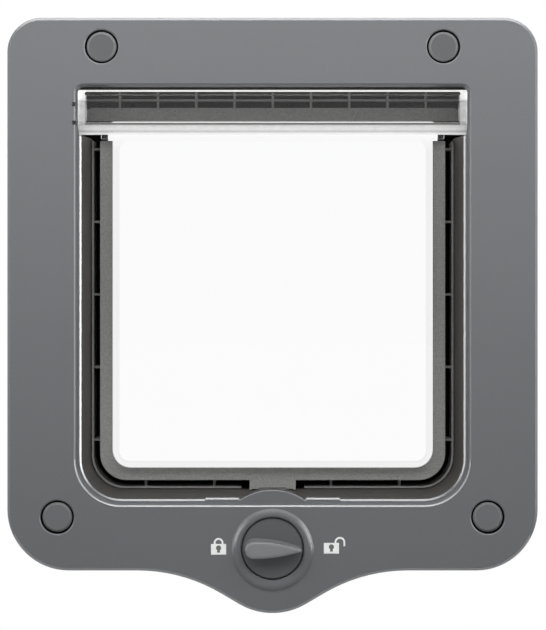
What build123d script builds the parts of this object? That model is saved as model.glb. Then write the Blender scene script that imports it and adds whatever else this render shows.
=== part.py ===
from build123d import *
import os

os.makedirs("parts", exist_ok=True)

# Two-way cat flap with a clear swinging panel and a turn-knob lock, set in a door.
# Millimetres, +Z up. The room is on the -Y side, the outdoors on the +Y side.
# The origin is the middle of the flap opening, on the door's room-side face (Y = 0).

# Clear flap: hanging panel with a raised rim, and the box hood round the hinge line
flap_width = 137.2
flap_drop = 153.0
flap_thickness = 3.0
flap_corner = 7.0
flap_rim = 1.8
flap_rim_slope = 0.8
flap_rim_step = 0.12
hood_front = 6.2
hood_rise = 9.1
hood_fold = 5.9
hood_drop = 9.9
hood_corner = 2.0
hood_wall = 2.0
hood_side_gap = 0.8
cheek_thickness = 3.0
hub_radius = 4.4
pin_radius = 2.1
pin_length = 4.4
pin_clearance = 0.06
shoulder_reach = 5.2
shoulder_drop = 1.8

# Layers around the flap, from its edge outwards
flap_gap = 0.8
ring_face = 5.3
channel_gap = 3.0
rib_wall = 0.9
bore_gap = 2.7
collar_wall = 2.0
lip_step = 2.9
hood_top_gap = 0.75
tunnel_gap = 0.3

# Corner radii of those layers at the bottom, and of the opening's top corners
well_corner = 20.0
well_top_corner = 4.0
pocket_corner = 2.5
ring_corner_ease = 1.0
moulding_corner = 0.5

# Inner frame: the moulded plate on the room side
frame_border = 28.3
frame_border_top = 27.8
frame_border_bottom = 27.1
frame_depth = 16.0
frame_plate = 2.5
frame_wall = 2.5
frame_edge_bevel = 1.2
frame_top_corner = 14.4
frame_bottom_corner = 26.0
chin_half_width = 38.3
chin_drop = 22.6
chin_flank_radius = 70.0
chin_tip_radius = 28.0
lip_depth = 3.0
lip_bevel = 0.8
well_bevel = 0.6
well_draft = 0.8
drum_bevel = 0.4
sill_pad_near = 14.2
sill_pad_far = 28.6
sill_pad_depth = 4.0
sill_pad_rise = 0.6
frame_rib = 1.6
frame_rib_inset = 2.0

# Hinge line behind the inner frame's face, and the release tab beside it
hinge_depth = 15.0
bearing_wall = 2.2
bearing_length = 2.8
tab_slit = 1.7
tab_slit_reach = 0.8
tab_slit_depth = 7.0
tab_half_height = 3.9
tab_drop = 1.9

# Flap surround: the ring behind the flap and its ribbed channel
ring_setback = 3.5
ring_thickness = 2.0
throat_wall = 2.0
rib_wall_setback = 3.5
side_rib_pitch = 31.6
side_rib_count = 5
bottom_rib_inner = 25.4
bottom_rib_outer = 55.2
surround_rib = 1.0
post_clearance = 2.0
web_thickness = 2.0
lintel_setback = 16.0
lintel_drop = 2.7
lintel_height = 5.7
lintel_depth = 5.0
lintel_end_gap = 2.2
lintel_corner = 3.0
top_channel = 3.0
top_shelf = 0.9
top_rib_pitch = 16.8
top_rib_count = 9
tongue_half_width = 10.0
tongue_notch_gap = 3.7

# Outer frame: the moulded plate on the outdoor side, set for this door
door_thickness = 30.0
outer_depth = 12.0
outer_wall = 2.5
sleeve_gap = 0.5
sleeve_wall = 2.0
sleeve_overlap = 10.0
outer_throat_length = 16.0

# Lock: knob, cam and forked bolt below the opening
knob_drop = 17.5
knob_radius = 12.9
knob_gap = 0.45
knob_thickness = 3.2
knob_rise = 0.6
knob_edge_bevel = 0.4
handle_length = 24.4
handle_width = 8.4
handle_tip_width = 0.8
handle_height = 7.5
handle_draft = 0.7
handle_bevel = 0.45
collar_ring_drop = 0.6
collar_ring_foot = 17.5
collar_ring_shoulder = 16.6
collar_ring_crest = 15.6
collar_ring_flat = 0.8
collar_ring_height = 1.7
collar_ring_break = 0.6
socket_floor = 2.0
shaft_radius = 4.0
shaft_clearance = 0.08
drum_radius = 24.4
drum_wall = 1.6
cam_thickness = 3.0
cam_clearance = 0.5
cam_drive = 6.0
cam_drive_clearance = 0.05
cam_start_radius = 7.5
bolt_lift = 12.0
lock_turn = 180.0
cam_overrun = 9.0
cam_steps = 12
follower_radius = 1.5
follower_clearance = 0.15
bolt_half_width = 6.0
bolt_plate = 2.5
bolt_fork_length = 6.5
bolt_fork_bite = 2.8
bolt_fork_rear = 1.2
bolt_fork_clearance = 0.4
bolt_tail = 0.8
guide_clearance = 0.3
guide_wall = 1.5
guide_length = 12.0
cover_thickness = 2.0
cover_ear_offset = 29.0
cover_ear_radius = 4.0
cover_ear_drop = 4.0
cover_boss_radius = 3.6
cover_edge_gap = 0.3
cover_inset = 0.8

# Fasteners
screw_inset_x_top = 40.0
screw_inset_z_top = 12.3
screw_inset_x_bottom = 21.2
screw_inset_z_bottom = 22.7
screw_radius = 2.0
screw_clearance = 0.3
screw_head_radius = 3.8
screw_head_height = 2.6
screw_head_gap = 0.5
screw_grip = 8.0
screw_thread_gap = 0.05
screw_seat_depth = 8.0
plug_radius = 6.3
plug_gap = 0.8
plug_cap = 2.2
plug_recess = 0.2
plug_edge = 1.0
plug_mouth = 0.5
plug_stem = 1.6
screw_boss_wall = 2.0
small_screw_radius = 1.2
small_screw_head_radius = 2.6
small_screw_head_height = 1.5
small_screw_length = 7.0
cam_screw_head_radius = 3.0

# How near two measured values count as the same
touch = 0.02

# Positions across the opening, worked outwards from the flap's edge
ring_inner = flap_width / 2 + flap_gap
ring_outer = ring_inner + ring_face
rib_wall_inner = ring_outer + channel_gap
rib_wall_outer = rib_wall_inner + rib_wall
bore_half = rib_wall_outer + bore_gap
well_half = bore_half + lip_step
frame_half = well_half + frame_border
throat_inner = ring_outer - throat_wall

# How far the hood reaches from the hinge line as it swings
hood_reach = max(
    Vector(hood_front - hood_corner, hood_rise - hood_corner).length + hood_corner,
    Vector(hood_front, hood_fold).length,
    Vector(flap_thickness / 2, hood_drop).length,
)

# Heights: the opening is as tall below the middle as above it
layers_below = flap_gap + ring_face + channel_gap + rib_wall + bore_gap + lip_step
well_top = (hood_top_gap + hood_reach + flap_drop + layers_below) / 2
well_bottom = -well_top
hinge_z = well_top - hood_top_gap - hood_reach
flap_bottom = hinge_z - flap_drop
ring_bottom = flap_bottom - flap_gap
ring_bottom_outer = ring_bottom - ring_face
rib_bottom = ring_bottom_outer - channel_gap
rib_bottom_outer = rib_bottom - rib_wall
bore_bottom = rib_bottom_outer - bore_gap
throat_bottom = ring_bottom_outer + throat_wall
rear_half = rib_wall_outer + tunnel_gap
rear_bottom = rib_bottom_outer - tunnel_gap
pocket_floor = hinge_z - hood_reach - hood_top_gap
floor_underside = bore_bottom - collar_wall
frame_top = well_top + frame_border_top
frame_bottom = well_bottom - frame_border_bottom
knob_z = well_bottom - knob_drop
post_top = hinge_z - hood_reach - post_clearance
lintel_bottom = hinge_z - lintel_drop
lintel_top = lintel_bottom + lintel_height
shelf_z = lintel_top + top_channel
roof_top = well_top - bore_gap / 2

# Corner radii that follow the layers inwards
bore_corner = well_corner - lip_step
rib_corner_outer = bore_corner - bore_gap
rear_corner = rib_corner_outer + tunnel_gap
rib_corner_inner = rib_corner_outer - rib_wall
ring_corner_outer = rib_corner_inner - channel_gap + ring_corner_ease
ring_corner_inner = flap_corner + flap_gap

# Depths, from the room-side face backwards
face_y = -frame_depth
lip_y = face_y + lip_depth
hinge_y = face_y + hinge_depth
ring_y = hinge_y + ring_setback
rib_wall_y = ring_y + rib_wall_setback
lintel_y = hinge_y + lintel_setback
web_y = lintel_y + lintel_depth - web_thickness
web_back_y = web_y + web_thickness
outer_rim_y = door_thickness
outer_face_y = outer_rim_y + outer_depth
knob_seat_y = face_y + knob_thickness - knob_rise
cam_y = knob_seat_y + socket_floor + cam_clearance
cam_back_y = cam_y + cam_thickness
bolt_y = cam_back_y + cam_clearance
bolt_plate_back_y = bolt_y + bolt_plate
fork_slot_y = hinge_y - flap_thickness / 2 - bolt_fork_clearance
fork_slot_back_y = hinge_y + flap_thickness / 2 + bolt_fork_clearance
fork_back_y = fork_slot_back_y + bolt_fork_rear
cover_y = bolt_plate_back_y + guide_clearance * 2
cover_back_y = cover_y + cover_thickness
screw_seat_y = face_y + screw_seat_depth

# Heights of the lock bolt when it is down
follower_z = knob_z + cam_start_radius
bolt_bottom = follower_z - follower_radius - bolt_tail
fork_top = flap_bottom + bolt_fork_bite - bolt_lift
fork_floor = flap_bottom - bolt_fork_clearance - bolt_lift
fork_underside = fork_top - bolt_fork_length
notch_top = knob_z + drum_radius + drum_wall
notch_bottom = fork_underside - guide_clearance

screw_spots = [
    (-(frame_half - screw_inset_x_top), frame_top - screw_inset_z_top),
    (frame_half - screw_inset_x_top, frame_top - screw_inset_z_top),
    (-(frame_half - screw_inset_x_bottom), frame_bottom + screw_inset_z_bottom),
    (frame_half - screw_inset_x_bottom, frame_bottom + screw_inset_z_bottom),
]
screw_names = ["top_left", "top_right", "bottom_left", "bottom_right"]
cover_ears = [
    (-cover_ear_offset, knob_z - cover_ear_drop),
    (cover_ear_offset, knob_z - cover_ear_drop),
]


def upright(y):
    """Vertical plane at this depth: sketch x is X, sketch y is Z, extrusion comes to the room."""
    return Plane.XZ.offset(-y)


def panel(half_width, top, bottom, top_corner, bottom_corner):
    """Upright rectangle about the middle line, with its own top and bottom corner radii."""
    with BuildSketch(mode=Mode.PRIVATE) as shape:
        with Locations((0, (top + bottom) / 2)):
            Rectangle(2 * half_width, top - bottom)
        fillet(shape.vertices().group_by(Axis.Y)[-1], top_corner)
        fillet(shape.vertices().group_by(Axis.Y)[0], bottom_corner)
    return shape.sketch


def plate_outline(with_chin, inset=0.0):
    """Outline of a frame plate; the room-side one bulges down round the knob."""
    half = frame_half - inset
    top = frame_top - inset
    bottom = frame_bottom + inset
    tip = bottom - chin_drop
    with BuildSketch(mode=Mode.PRIVATE) as shape:
        with BuildLine():
            if with_chin:
                Polyline(
                    (-half, top),
                    (half, top),
                    (half, bottom),
                    (chin_half_width, bottom),
                    (0, tip),
                    (-chin_half_width, bottom),
                    (-half, bottom),
                    close=True,
                )
            else:
                Polyline((-half, top), (half, top), (half, bottom), (-half, bottom), close=True)
        make_face()
        fillet(shape.vertices().group_by(Axis.Y)[-1], frame_top_corner - inset)
        fillet(
            shape.vertices().filter_by(lambda v: v.Y < 0 and half - abs(v.X) < touch),
            frame_bottom_corner - inset,
        )
        if with_chin:
            fillet(
                shape.vertices().filter_by(lambda v: abs(abs(v.X) - chin_half_width) < touch),
                chin_flank_radius,
            )
            fillet(shape.vertices().sort_by(Axis.Y)[:1], chin_tip_radius - inset)
    return shape.sketch


def well_outline(inset):
    """Outline of the opening at the frame's face, or of a step inside it."""
    return panel(
        well_half - inset,
        well_top - inset,
        well_bottom + inset,
        well_top_corner - inset,
        well_corner - inset,
    )


def pocket_outline(grow):
    """Wide pocket at the top of the opening, where the hood turns."""
    return panel(
        well_half + grow,
        well_top + grow,
        pocket_floor - grow,
        pocket_corner + grow,
        moulding_corner,
    )


def mouth_outline(grow):
    """Tunnel at the lip, up into the pocket."""
    return panel(bore_half + grow, hinge_z, bore_bottom - grow, moulding_corner, bore_corner + grow)


def rear_outline(grow):
    """Tunnel where it meets the surround, up into the pocket."""
    return panel(rear_half + grow, hinge_z, rear_bottom - grow, moulding_corner, rear_corner + grow)


def rim_outline(inset):
    """Field of the flap inside its raised rim."""
    corner = flap_corner - flap_rim - inset
    edge = flap_rim + inset
    return panel(flap_width / 2 - edge, hinge_z - hood_drop - edge, flap_bottom + edge, corner, corner)


def hood_section(inset, corner):
    """Section of the box hood about the hinge line, open at the back, folded in to the panel below."""
    back = flap_thickness / 2
    beyond = back + 2 * hood_wall
    with BuildSketch(mode=Mode.PRIVATE) as shape:
        with BuildLine():
            Polyline(
                (beyond, hood_rise),
                (-hood_front, hood_rise),
                (-hood_front, -hood_fold),
                (-back, -hood_drop),
                (beyond, -hood_drop),
                close=True,
            )
        make_face()
        if inset:
            offset(amount=-inset, kind=Kind.INTERSECTION, mode=Mode.REPLACE)
        fillet(shape.vertices().group_by(Axis.X)[0].sort_by(Axis.Y)[-1:], corner)
        with Locations((back, 0)):
            Rectangle(
                3 * hood_wall,
                3 * (hood_rise + hood_drop),
                align=(Align.MIN, Align.CENTER),
                mode=Mode.SUBTRACT,
            )
    return shape.sketch


def teardrop(shrink):
    """Handle outline: round at the back, narrowing in a soft curve to a blunt point at +X."""
    fat = handle_width / 2 - shrink
    tip = handle_tip_width / 2
    butt = -handle_length / 2 + handle_width / 2
    nose = handle_length / 2
    with BuildSketch(mode=Mode.PRIVATE) as shape:
        with BuildLine():
            TangentArc((butt, fat), (nose, tip), tangent=(1, 0))
            Line((nose, tip), (nose, -tip))
            TangentArc((butt, -fat), (nose, -tip), tangent=(1, 0))
            ThreePointArc((butt, -fat), (butt - fat, 0), (butt, fat))
        make_face()
    return shape.sketch


# Space inside the collar: bevelled lip, narrowing tunnel and hood pocket, with the lock's drum left standing
with BuildPart() as passage:
    with BuildSketch(upright(lip_y)):
        add(mouth_outline(lip_bevel))
    with BuildSketch(upright(lip_y + lip_bevel)):
        add(mouth_outline(0))
    loft(ruled=True)
    with BuildSketch(upright(lip_y + lip_bevel)):
        add(mouth_outline(0))
    with BuildSketch(upright(rib_wall_y)):
        add(rear_outline(0))
    loft(ruled=True)
    with BuildSketch(upright(web_y)):
        add(rear_outline(0))
    extrude(amount=web_y - rib_wall_y)
    with BuildSketch(upright(web_y)):
        add(pocket_outline(0))
    extrude(amount=web_y - lip_y)
    with BuildSketch(Plane.YZ):
        with BuildLine():
            Polyline(
                (lip_y, knob_z),
                (lip_y, knob_z + drum_radius - drum_bevel),
                (lip_y + drum_bevel, knob_z + drum_radius),
                (cover_back_y, knob_z + drum_radius),
                (cover_back_y, knob_z),
                close=True,
            )
        make_face()
    revolve(axis=Axis((0, 0, knob_z), (0, 1, 0)), mode=Mode.SUBTRACT)

# Inner frame: hollow moulded plate, stepped opening and the collar that goes into the door
with BuildPart() as inner_frame:
    with BuildSketch(upright(0)):
        add(plate_outline(with_chin=True))
    extrude(amount=frame_depth)
    chamfer(inner_frame.faces().sort_by(Axis.Y)[0].outer_wire().edges(), frame_edge_bevel)
    with BuildSketch(upright(0)):
        add(plate_outline(with_chin=True, inset=frame_wall))
    extrude(amount=frame_depth - frame_plate, mode=Mode.SUBTRACT)
    # Stiffening ribs across the hollow back, short of the door's face
    with BuildSketch(upright(-frame_rib_inset)):
        add(plate_outline(with_chin=True, inset=frame_wall / 2))
        with BuildSketch(mode=Mode.INTERSECT):
            with GridLocations(0, 2 * pocket_floor / 3, 1, 4):
                Rectangle(2 * frame_half, frame_rib)
            with GridLocations(4 * bore_half / 3, 0, 2, 1):
                Rectangle(frame_rib, 4 * frame_half)
    extrude(amount=frame_depth - frame_plate - frame_rib_inset)
    # Wall of the stepped opening, and the collar behind it that narrows with the tunnel
    with BuildSketch(upright(lip_y + collar_wall)):
        add(well_outline(-collar_wall))
    extrude(amount=lip_depth + collar_wall - frame_plate)
    with BuildSketch(upright(web_y)):
        add(pocket_outline(collar_wall))
    extrude(amount=web_y - lip_y)
    with BuildSketch(upright(lip_y)):
        add(mouth_outline(collar_wall))
    with BuildSketch(upright(rib_wall_y)):
        add(rear_outline(collar_wall))
    loft(ruled=True)
    with BuildSketch(upright(web_y)):
        add(rear_outline(collar_wall))
    extrude(amount=web_y - rib_wall_y)
    # Bearings for the flap's pins, on the outside of the pocket's walls
    bearing_reach = well_half + collar_wall + bearing_length
    with BuildSketch(Plane.YZ.offset(-bearing_reach)):
        with Locations((hinge_y, hinge_z)):
            Circle(pin_radius + pin_clearance + bearing_wall)
    extrude(amount=2 * bearing_reach)
    # Screw towers at the four corners
    with BuildSketch(upright(0)):
        with Locations(*screw_spots):
            Circle(plug_radius + plug_gap + screw_boss_wall)
    extrude(amount=frame_depth - frame_plate)
    # Drum of the lock housing and the bosses for its rear cover
    with BuildSketch(upright(cover_y)):
        with Locations((0, knob_z)):
            Circle(drum_radius)
        with Locations(*cover_ears):
            Circle(cover_boss_radius)
    extrude(amount=cover_y - face_y - frame_plate)
    with BuildSketch(upright(cover_back_y)):
        with Locations((0, knob_z)):
            Circle(drum_radius)
        with Locations((0, floor_underside + drum_radius)):
            Rectangle(2 * drum_radius, 2 * drum_radius, mode=Mode.INTERSECT)
    extrude(amount=cover_back_y - cover_y)
    # Raised ring round the knob, set a little low; the knob's socket trims it inside
    ring_z = knob_z - collar_ring_drop
    ring_bore = knob_radius + knob_gap - collar_ring_drop
    with BuildSketch(Plane.YZ):
        with BuildLine():
            Polyline(
                (face_y + frame_plate / 2, ring_z + collar_ring_foot),
                (face_y, ring_z + collar_ring_foot),
                (face_y - collar_ring_height + collar_ring_break, ring_z + collar_ring_shoulder),
                (face_y - collar_ring_height, ring_z + collar_ring_crest),
                (face_y - collar_ring_height, ring_z + collar_ring_crest - collar_ring_flat),
                (face_y - collar_ring_height + collar_ring_break, ring_z + ring_bore),
                (face_y + frame_plate / 2, ring_z + ring_bore),
                close=True,
            )
        make_face()
    revolve(axis=Axis((0, 0, ring_z), (0, 1, 0)))
    # Opening: bevelled edge at the face, step with a little draft, then the passage behind the lip
    with BuildSketch(upright(lip_y)):
        add(well_outline(well_bevel + well_draft))
    with BuildSketch(upright(face_y + well_bevel)):
        add(well_outline(well_bevel))
    loft(ruled=True, mode=Mode.SUBTRACT)
    with BuildSketch(upright(face_y + well_bevel)):
        add(well_outline(well_bevel))
    with BuildSketch(upright(face_y - collar_ring_height)):
        add(well_outline(-collar_ring_height))
    loft(ruled=True, mode=Mode.SUBTRACT)
    add(passage.part, mode=Mode.SUBTRACT)
    # Two low pads on the sill, one on each side of the drum
    for start in (-sill_pad_far, sill_pad_near):
        with BuildSketch(Plane.YZ.offset(start)):
            with BuildLine():
                Polyline(
                    (lip_y, bore_bottom - lip_bevel + sill_pad_rise),
                    (lip_y + lip_bevel, bore_bottom + sill_pad_rise),
                    (lip_y + sill_pad_depth, bore_bottom + sill_pad_rise),
                    (lip_y + sill_pad_depth, bore_bottom - collar_wall / 2),
                    (lip_y, bore_bottom - collar_wall / 2),
                    close=True,
                )
            make_face()
        extrude(amount=sill_pad_far - sill_pad_near)
    # Socket and bearing of the knob
    with BuildSketch(upright(knob_seat_y + socket_floor)):
        with Locations((0, knob_z)):
            Circle(knob_radius + knob_gap + drum_wall)
    extrude(amount=knob_seat_y + socket_floor - face_y)
    with BuildSketch(upright(knob_seat_y)):
        with Locations((0, knob_z)):
            Circle(knob_radius + knob_gap)
    extrude(amount=knob_seat_y - face_y + collar_ring_height, mode=Mode.SUBTRACT)
    with BuildSketch(upright(cover_y)):
        with Locations((0, knob_z)):
            Circle(drum_radius - drum_wall)
    extrude(amount=cover_y - knob_seat_y - socket_floor, mode=Mode.SUBTRACT)
    with BuildSketch(upright(0)):
        with Locations((0, knob_z)):
            Circle(shaft_radius + shaft_clearance)
    extrude(amount=frame_depth, mode=Mode.SUBTRACT)
    # Notch in the drum and the passage floor for the bolt
    with BuildSketch(upright(fork_back_y + guide_clearance)):
        with Locations((0, (notch_top + notch_bottom) / 2)):
            Rectangle(2 * (bolt_half_width + guide_clearance), notch_top - notch_bottom)
    extrude(amount=fork_back_y - bolt_y + 2 * guide_clearance, mode=Mode.SUBTRACT)
    # Screw tower bores: cap recess, head seat and clearance hole
    with Locations(upright(face_y)):
        with Locations(*screw_spots):
            CounterBoreHole(
                screw_radius + screw_clearance,
                screw_head_radius + screw_head_gap,
                screw_seat_depth,
            )
            Hole(plug_radius + plug_gap, plug_cap + plug_recess)
    chamfer(
        inner_frame.edges()
        .filter_by(GeomType.CIRCLE)
        .filter_by(
            lambda e: abs(e.radius - plug_radius - plug_gap) < touch and abs(e.center().Y - face_y) < touch
        ),
        plug_mouth,
    )
    with BuildSketch(upright(cover_y)):
        with Locations(*cover_ears):
            Circle(small_screw_radius + screw_thread_gap)
    extrude(amount=small_screw_length, mode=Mode.SUBTRACT)
    # Bores of the two hinge bearings; the far end of each stays closed by the frame's hollow
    with BuildSketch(Plane.YZ.offset(-bearing_reach)):
        with Locations((hinge_y, hinge_z)):
            Circle(pin_radius + pin_clearance)
    extrude(amount=2 * bearing_reach, mode=Mode.SUBTRACT)
    # Two slits that free a springy release tab beside the left hinge pin
    with BuildSketch(upright(face_y + tab_slit_depth)):
        with Locations((-well_half - tab_slit_reach / 2 + well_bevel + well_draft, hinge_z - tab_drop)):
            with GridLocations(0, 2 * tab_half_height, 1, 2):
                Rectangle(tab_slit_reach + 2 * (well_bevel + well_draft), tab_slit)
    extrude(amount=tab_slit_depth, mode=Mode.SUBTRACT)

inner_frame.part.label = "inner_frame"
export_step(inner_frame.part, "parts/inner_frame.step")

# Flap surround: U-shaped ring behind the flap, ribbed channel, lintel and closing web
with BuildPart() as flap_surround:
    # Ring face and the throat behind it, up to the hood
    with BuildSketch(upright(ring_y + ring_thickness)):
        add(panel(ring_outer, post_top, ring_bottom_outer, moulding_corner, ring_corner_outer))
        add(
            panel(ring_inner, post_top + ring_face, ring_bottom, moulding_corner, ring_corner_inner),
            mode=Mode.SUBTRACT,
        )
    extrude(amount=ring_thickness)
    with BuildSketch(upright(web_y)):
        add(panel(ring_outer, post_top, ring_bottom_outer, moulding_corner, ring_corner_outer))
        add(
            panel(
                throat_inner,
                post_top + ring_face,
                throat_bottom,
                moulding_corner,
                ring_corner_outer - throat_wall,
            ),
            mode=Mode.SUBTRACT,
        )
    extrude(amount=web_y - ring_y)
    # Thin outer wall of the channel
    with BuildSketch(upright(web_y)):
        add(panel(rib_wall_outer, post_top, rib_bottom_outer, moulding_corner, rib_corner_outer))
        add(
            panel(rib_wall_inner, post_top + ring_face, rib_bottom, moulding_corner, rib_corner_inner),
            mode=Mode.SUBTRACT,
        )
        with Locations((0, rib_bottom)):
            Rectangle(2 * (tongue_half_width + tongue_notch_gap), 4 * rib_wall, mode=Mode.SUBTRACT)
    extrude(amount=web_y - rib_wall_y)
    # Ribs that tie the thin wall to the throat
    with BuildSketch(upright(web_y)):
        for side in (-1, 1):
            with Locations((side * (ring_outer + channel_gap / 2), 0)):
                with GridLocations(0, side_rib_pitch, 1, side_rib_count):
                    Rectangle(channel_gap + rib_wall, surround_rib)
            for spot in (bottom_rib_inner, bottom_rib_outer):
                with Locations((side * spot, ring_bottom_outer - channel_gap / 2)):
                    Rectangle(surround_rib, channel_gap + rib_wall)
    extrude(amount=web_y - rib_wall_y - surround_rib)
    # Tongue behind the bolt, below the ring
    with BuildSketch(upright(ring_y + ring_thickness)):
        with Locations((0, rib_bottom_outer)):
            Rectangle(
                2 * tongue_half_width,
                ring_bottom_outer - rib_bottom_outer + guide_clearance,
                align=(Align.CENTER, Align.MIN),
            )
    extrude(amount=ring_thickness)
    with BuildSketch(upright(web_y)):
        for side in (-1, 1):
            with Locations(
                (side * (tongue_half_width - surround_rib / 2), (ring_bottom_outer + rib_bottom_outer) / 2)
            ):
                Rectangle(surround_rib, ring_bottom_outer - rib_bottom_outer + 2 * guide_clearance)
    extrude(amount=web_y - ring_y)
    # Web that closes the channel and seats on the collar's end
    with BuildSketch(upright(web_back_y)):
        add(rear_outline(collar_wall))
        add(pocket_outline(collar_wall))
        add(
            panel(
                throat_inner,
                lintel_bottom,
                throat_bottom,
                lintel_corner,
                ring_corner_outer - throat_wall,
            ),
            mode=Mode.SUBTRACT,
        )
    extrude(amount=web_thickness)
    # Lintel behind the hood, with two ribbed channels above it
    lintel_half = well_half - lintel_end_gap
    with BuildSketch(upright(web_y)):
        add(panel(lintel_half, lintel_top, lintel_bottom, lintel_corner, moulding_corner))
        add(
            panel(
                lintel_half - throat_wall,
                lintel_top + lintel_height,
                lintel_bottom + throat_wall,
                moulding_corner,
                moulding_corner,
            ),
            mode=Mode.SUBTRACT,
        )
        for height in (shelf_z, roof_top - top_shelf):
            with Locations((0, height + top_shelf / 2)):
                Rectangle(2 * lintel_half, top_shelf)
        with Locations((0, (lintel_bottom + throat_wall + roof_top) / 2)):
            with GridLocations(top_rib_pitch, 0, top_rib_count, 1):
                Rectangle(surround_rib, roof_top - lintel_bottom - throat_wall)
    extrude(amount=web_y - lintel_y - ring_thickness / 2)
    with BuildSketch(upright(lintel_y + ring_thickness)):
        add(panel(lintel_half, lintel_top, lintel_bottom, lintel_corner, moulding_corner))
    extrude(amount=ring_thickness)

flap_surround.part.label = "flap_surround"
export_step(flap_surround.part, "parts/flap_surround.step")

# Outer frame: plain moulded plate outdoors, with a sleeve that slides over the collar
sleeve_inner = well_half + collar_wall + sleeve_gap
sleeve_top = well_top + collar_wall + sleeve_gap
sleeve_bottom = bore_bottom - collar_wall - sleeve_gap
sleeve_corner = bore_corner + collar_wall
with BuildPart() as outer_frame:
    with BuildSketch(upright(outer_face_y)):
        add(plate_outline(with_chin=False))
    extrude(amount=outer_depth)
    chamfer(outer_frame.faces().sort_by(Axis.Y)[-1].outer_wire().edges(), frame_edge_bevel)
    with BuildSketch(upright(outer_face_y - outer_wall)):
        add(plate_outline(with_chin=False, inset=outer_wall))
    extrude(amount=outer_depth - outer_wall, mode=Mode.SUBTRACT)
    # Sleeve round the collar
    with BuildSketch(upright(outer_face_y - outer_wall)):
        add(
            panel(
                sleeve_inner + sleeve_wall,
                sleeve_top + sleeve_wall,
                sleeve_bottom - sleeve_wall,
                well_top_corner + collar_wall + sleeve_wall,
                sleeve_corner + sleeve_wall,
            )
        )
        add(
            panel(
                sleeve_inner,
                sleeve_top,
                sleeve_bottom,
                well_top_corner + collar_wall,
                sleeve_corner,
            ),
            mode=Mode.SUBTRACT,
        )
    extrude(amount=outer_face_y - outer_wall - web_y + sleeve_overlap)
    # Throat through the plate
    with BuildSketch(upright(outer_face_y)):
        add(
            panel(
                rib_wall_inner + outer_wall,
                shelf_z + outer_wall,
                rib_bottom - outer_wall,
                lintel_corner + outer_wall,
                rib_corner_inner + outer_wall,
            )
        )
    extrude(amount=outer_throat_length)
    with BuildSketch(upright(outer_face_y)):
        add(panel(rib_wall_inner, shelf_z, rib_bottom, lintel_corner, rib_corner_inner))
    extrude(amount=outer_throat_length, mode=Mode.SUBTRACT)
    # Screw towers, flush with the rim
    with BuildSketch(upright(outer_face_y - outer_wall)):
        with Locations(*screw_spots):
            Circle(screw_radius + 2 * screw_boss_wall)
    extrude(amount=outer_depth - outer_wall)
    with Locations(upright(outer_rim_y)):
        with Locations(*screw_spots):
            Hole(screw_radius + screw_thread_gap, outer_depth - outer_wall)

outer_frame.part.label = "outer_frame"
export_step(outer_frame.part, "parts/outer_frame.step")

# Flap: one clear moulding of panel, hood, end cheeks and pins
hood_half = well_half - hood_side_gap
flap_top = hinge_z - hood_drop + hood_wall / 2
with BuildPart() as flap:
    with BuildSketch(upright(hinge_y + flap_thickness / 2)):
        add(panel(flap_width / 2, flap_top, flap_bottom, moulding_corner, flap_corner))
    extrude(amount=flap_thickness)
    # Shallow field with sloped edges on both faces, which leaves a raised rim
    for side in (-1, 1):
        with BuildSketch(upright(hinge_y + side * flap_thickness / 2)):
            add(rim_outline(0))
        with BuildSketch(upright(hinge_y + side * (flap_thickness / 2 - flap_rim_step))):
            add(rim_outline(flap_rim_slope))
        loft(ruled=True, mode=Mode.SUBTRACT)
    # Hood: flat-fronted box round the hinge line, on the room side
    with BuildSketch(Plane.YZ.offset(-hood_half)):
        with Locations((hinge_y, hinge_z)):
            add(hood_section(0, hood_corner))
            add(hood_section(hood_wall, moulding_corner), mode=Mode.SUBTRACT)
    extrude(amount=2 * hood_half)
    # Cheeks that close the hood's ends and carry the pins
    for side in (-1, 1):
        with BuildSketch(Plane.YZ.offset(side * (hood_half - cheek_thickness / 2))):
            with Locations((hinge_y, hinge_z)):
                add(hood_section(0, hood_corner))
                Circle(hub_radius)
        extrude(amount=cheek_thickness / 2, both=True)
        with BuildSketch(Plane.YZ.offset(side * hood_half)):
            with Locations((hinge_y, hinge_z)):
                Circle(pin_radius)
        extrude(amount=side * pin_length)
    # Shoulders where the panel meets the hood
    with BuildSketch(upright(hinge_y + flap_thickness / 2)):
        for side in (-1, 1):
            with Locations(
                (
                    side * (flap_width / 2 + shoulder_reach / 2 - hood_wall / 2),
                    hinge_z - hood_drop + (hood_wall - shoulder_drop) / 2,
                )
            ):
                Rectangle(shoulder_reach + hood_wall, shoulder_drop + hood_wall)
    extrude(amount=flap_thickness)

flap.part.label = "flap"
export_step(flap.part, "parts/flap.step")

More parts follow.
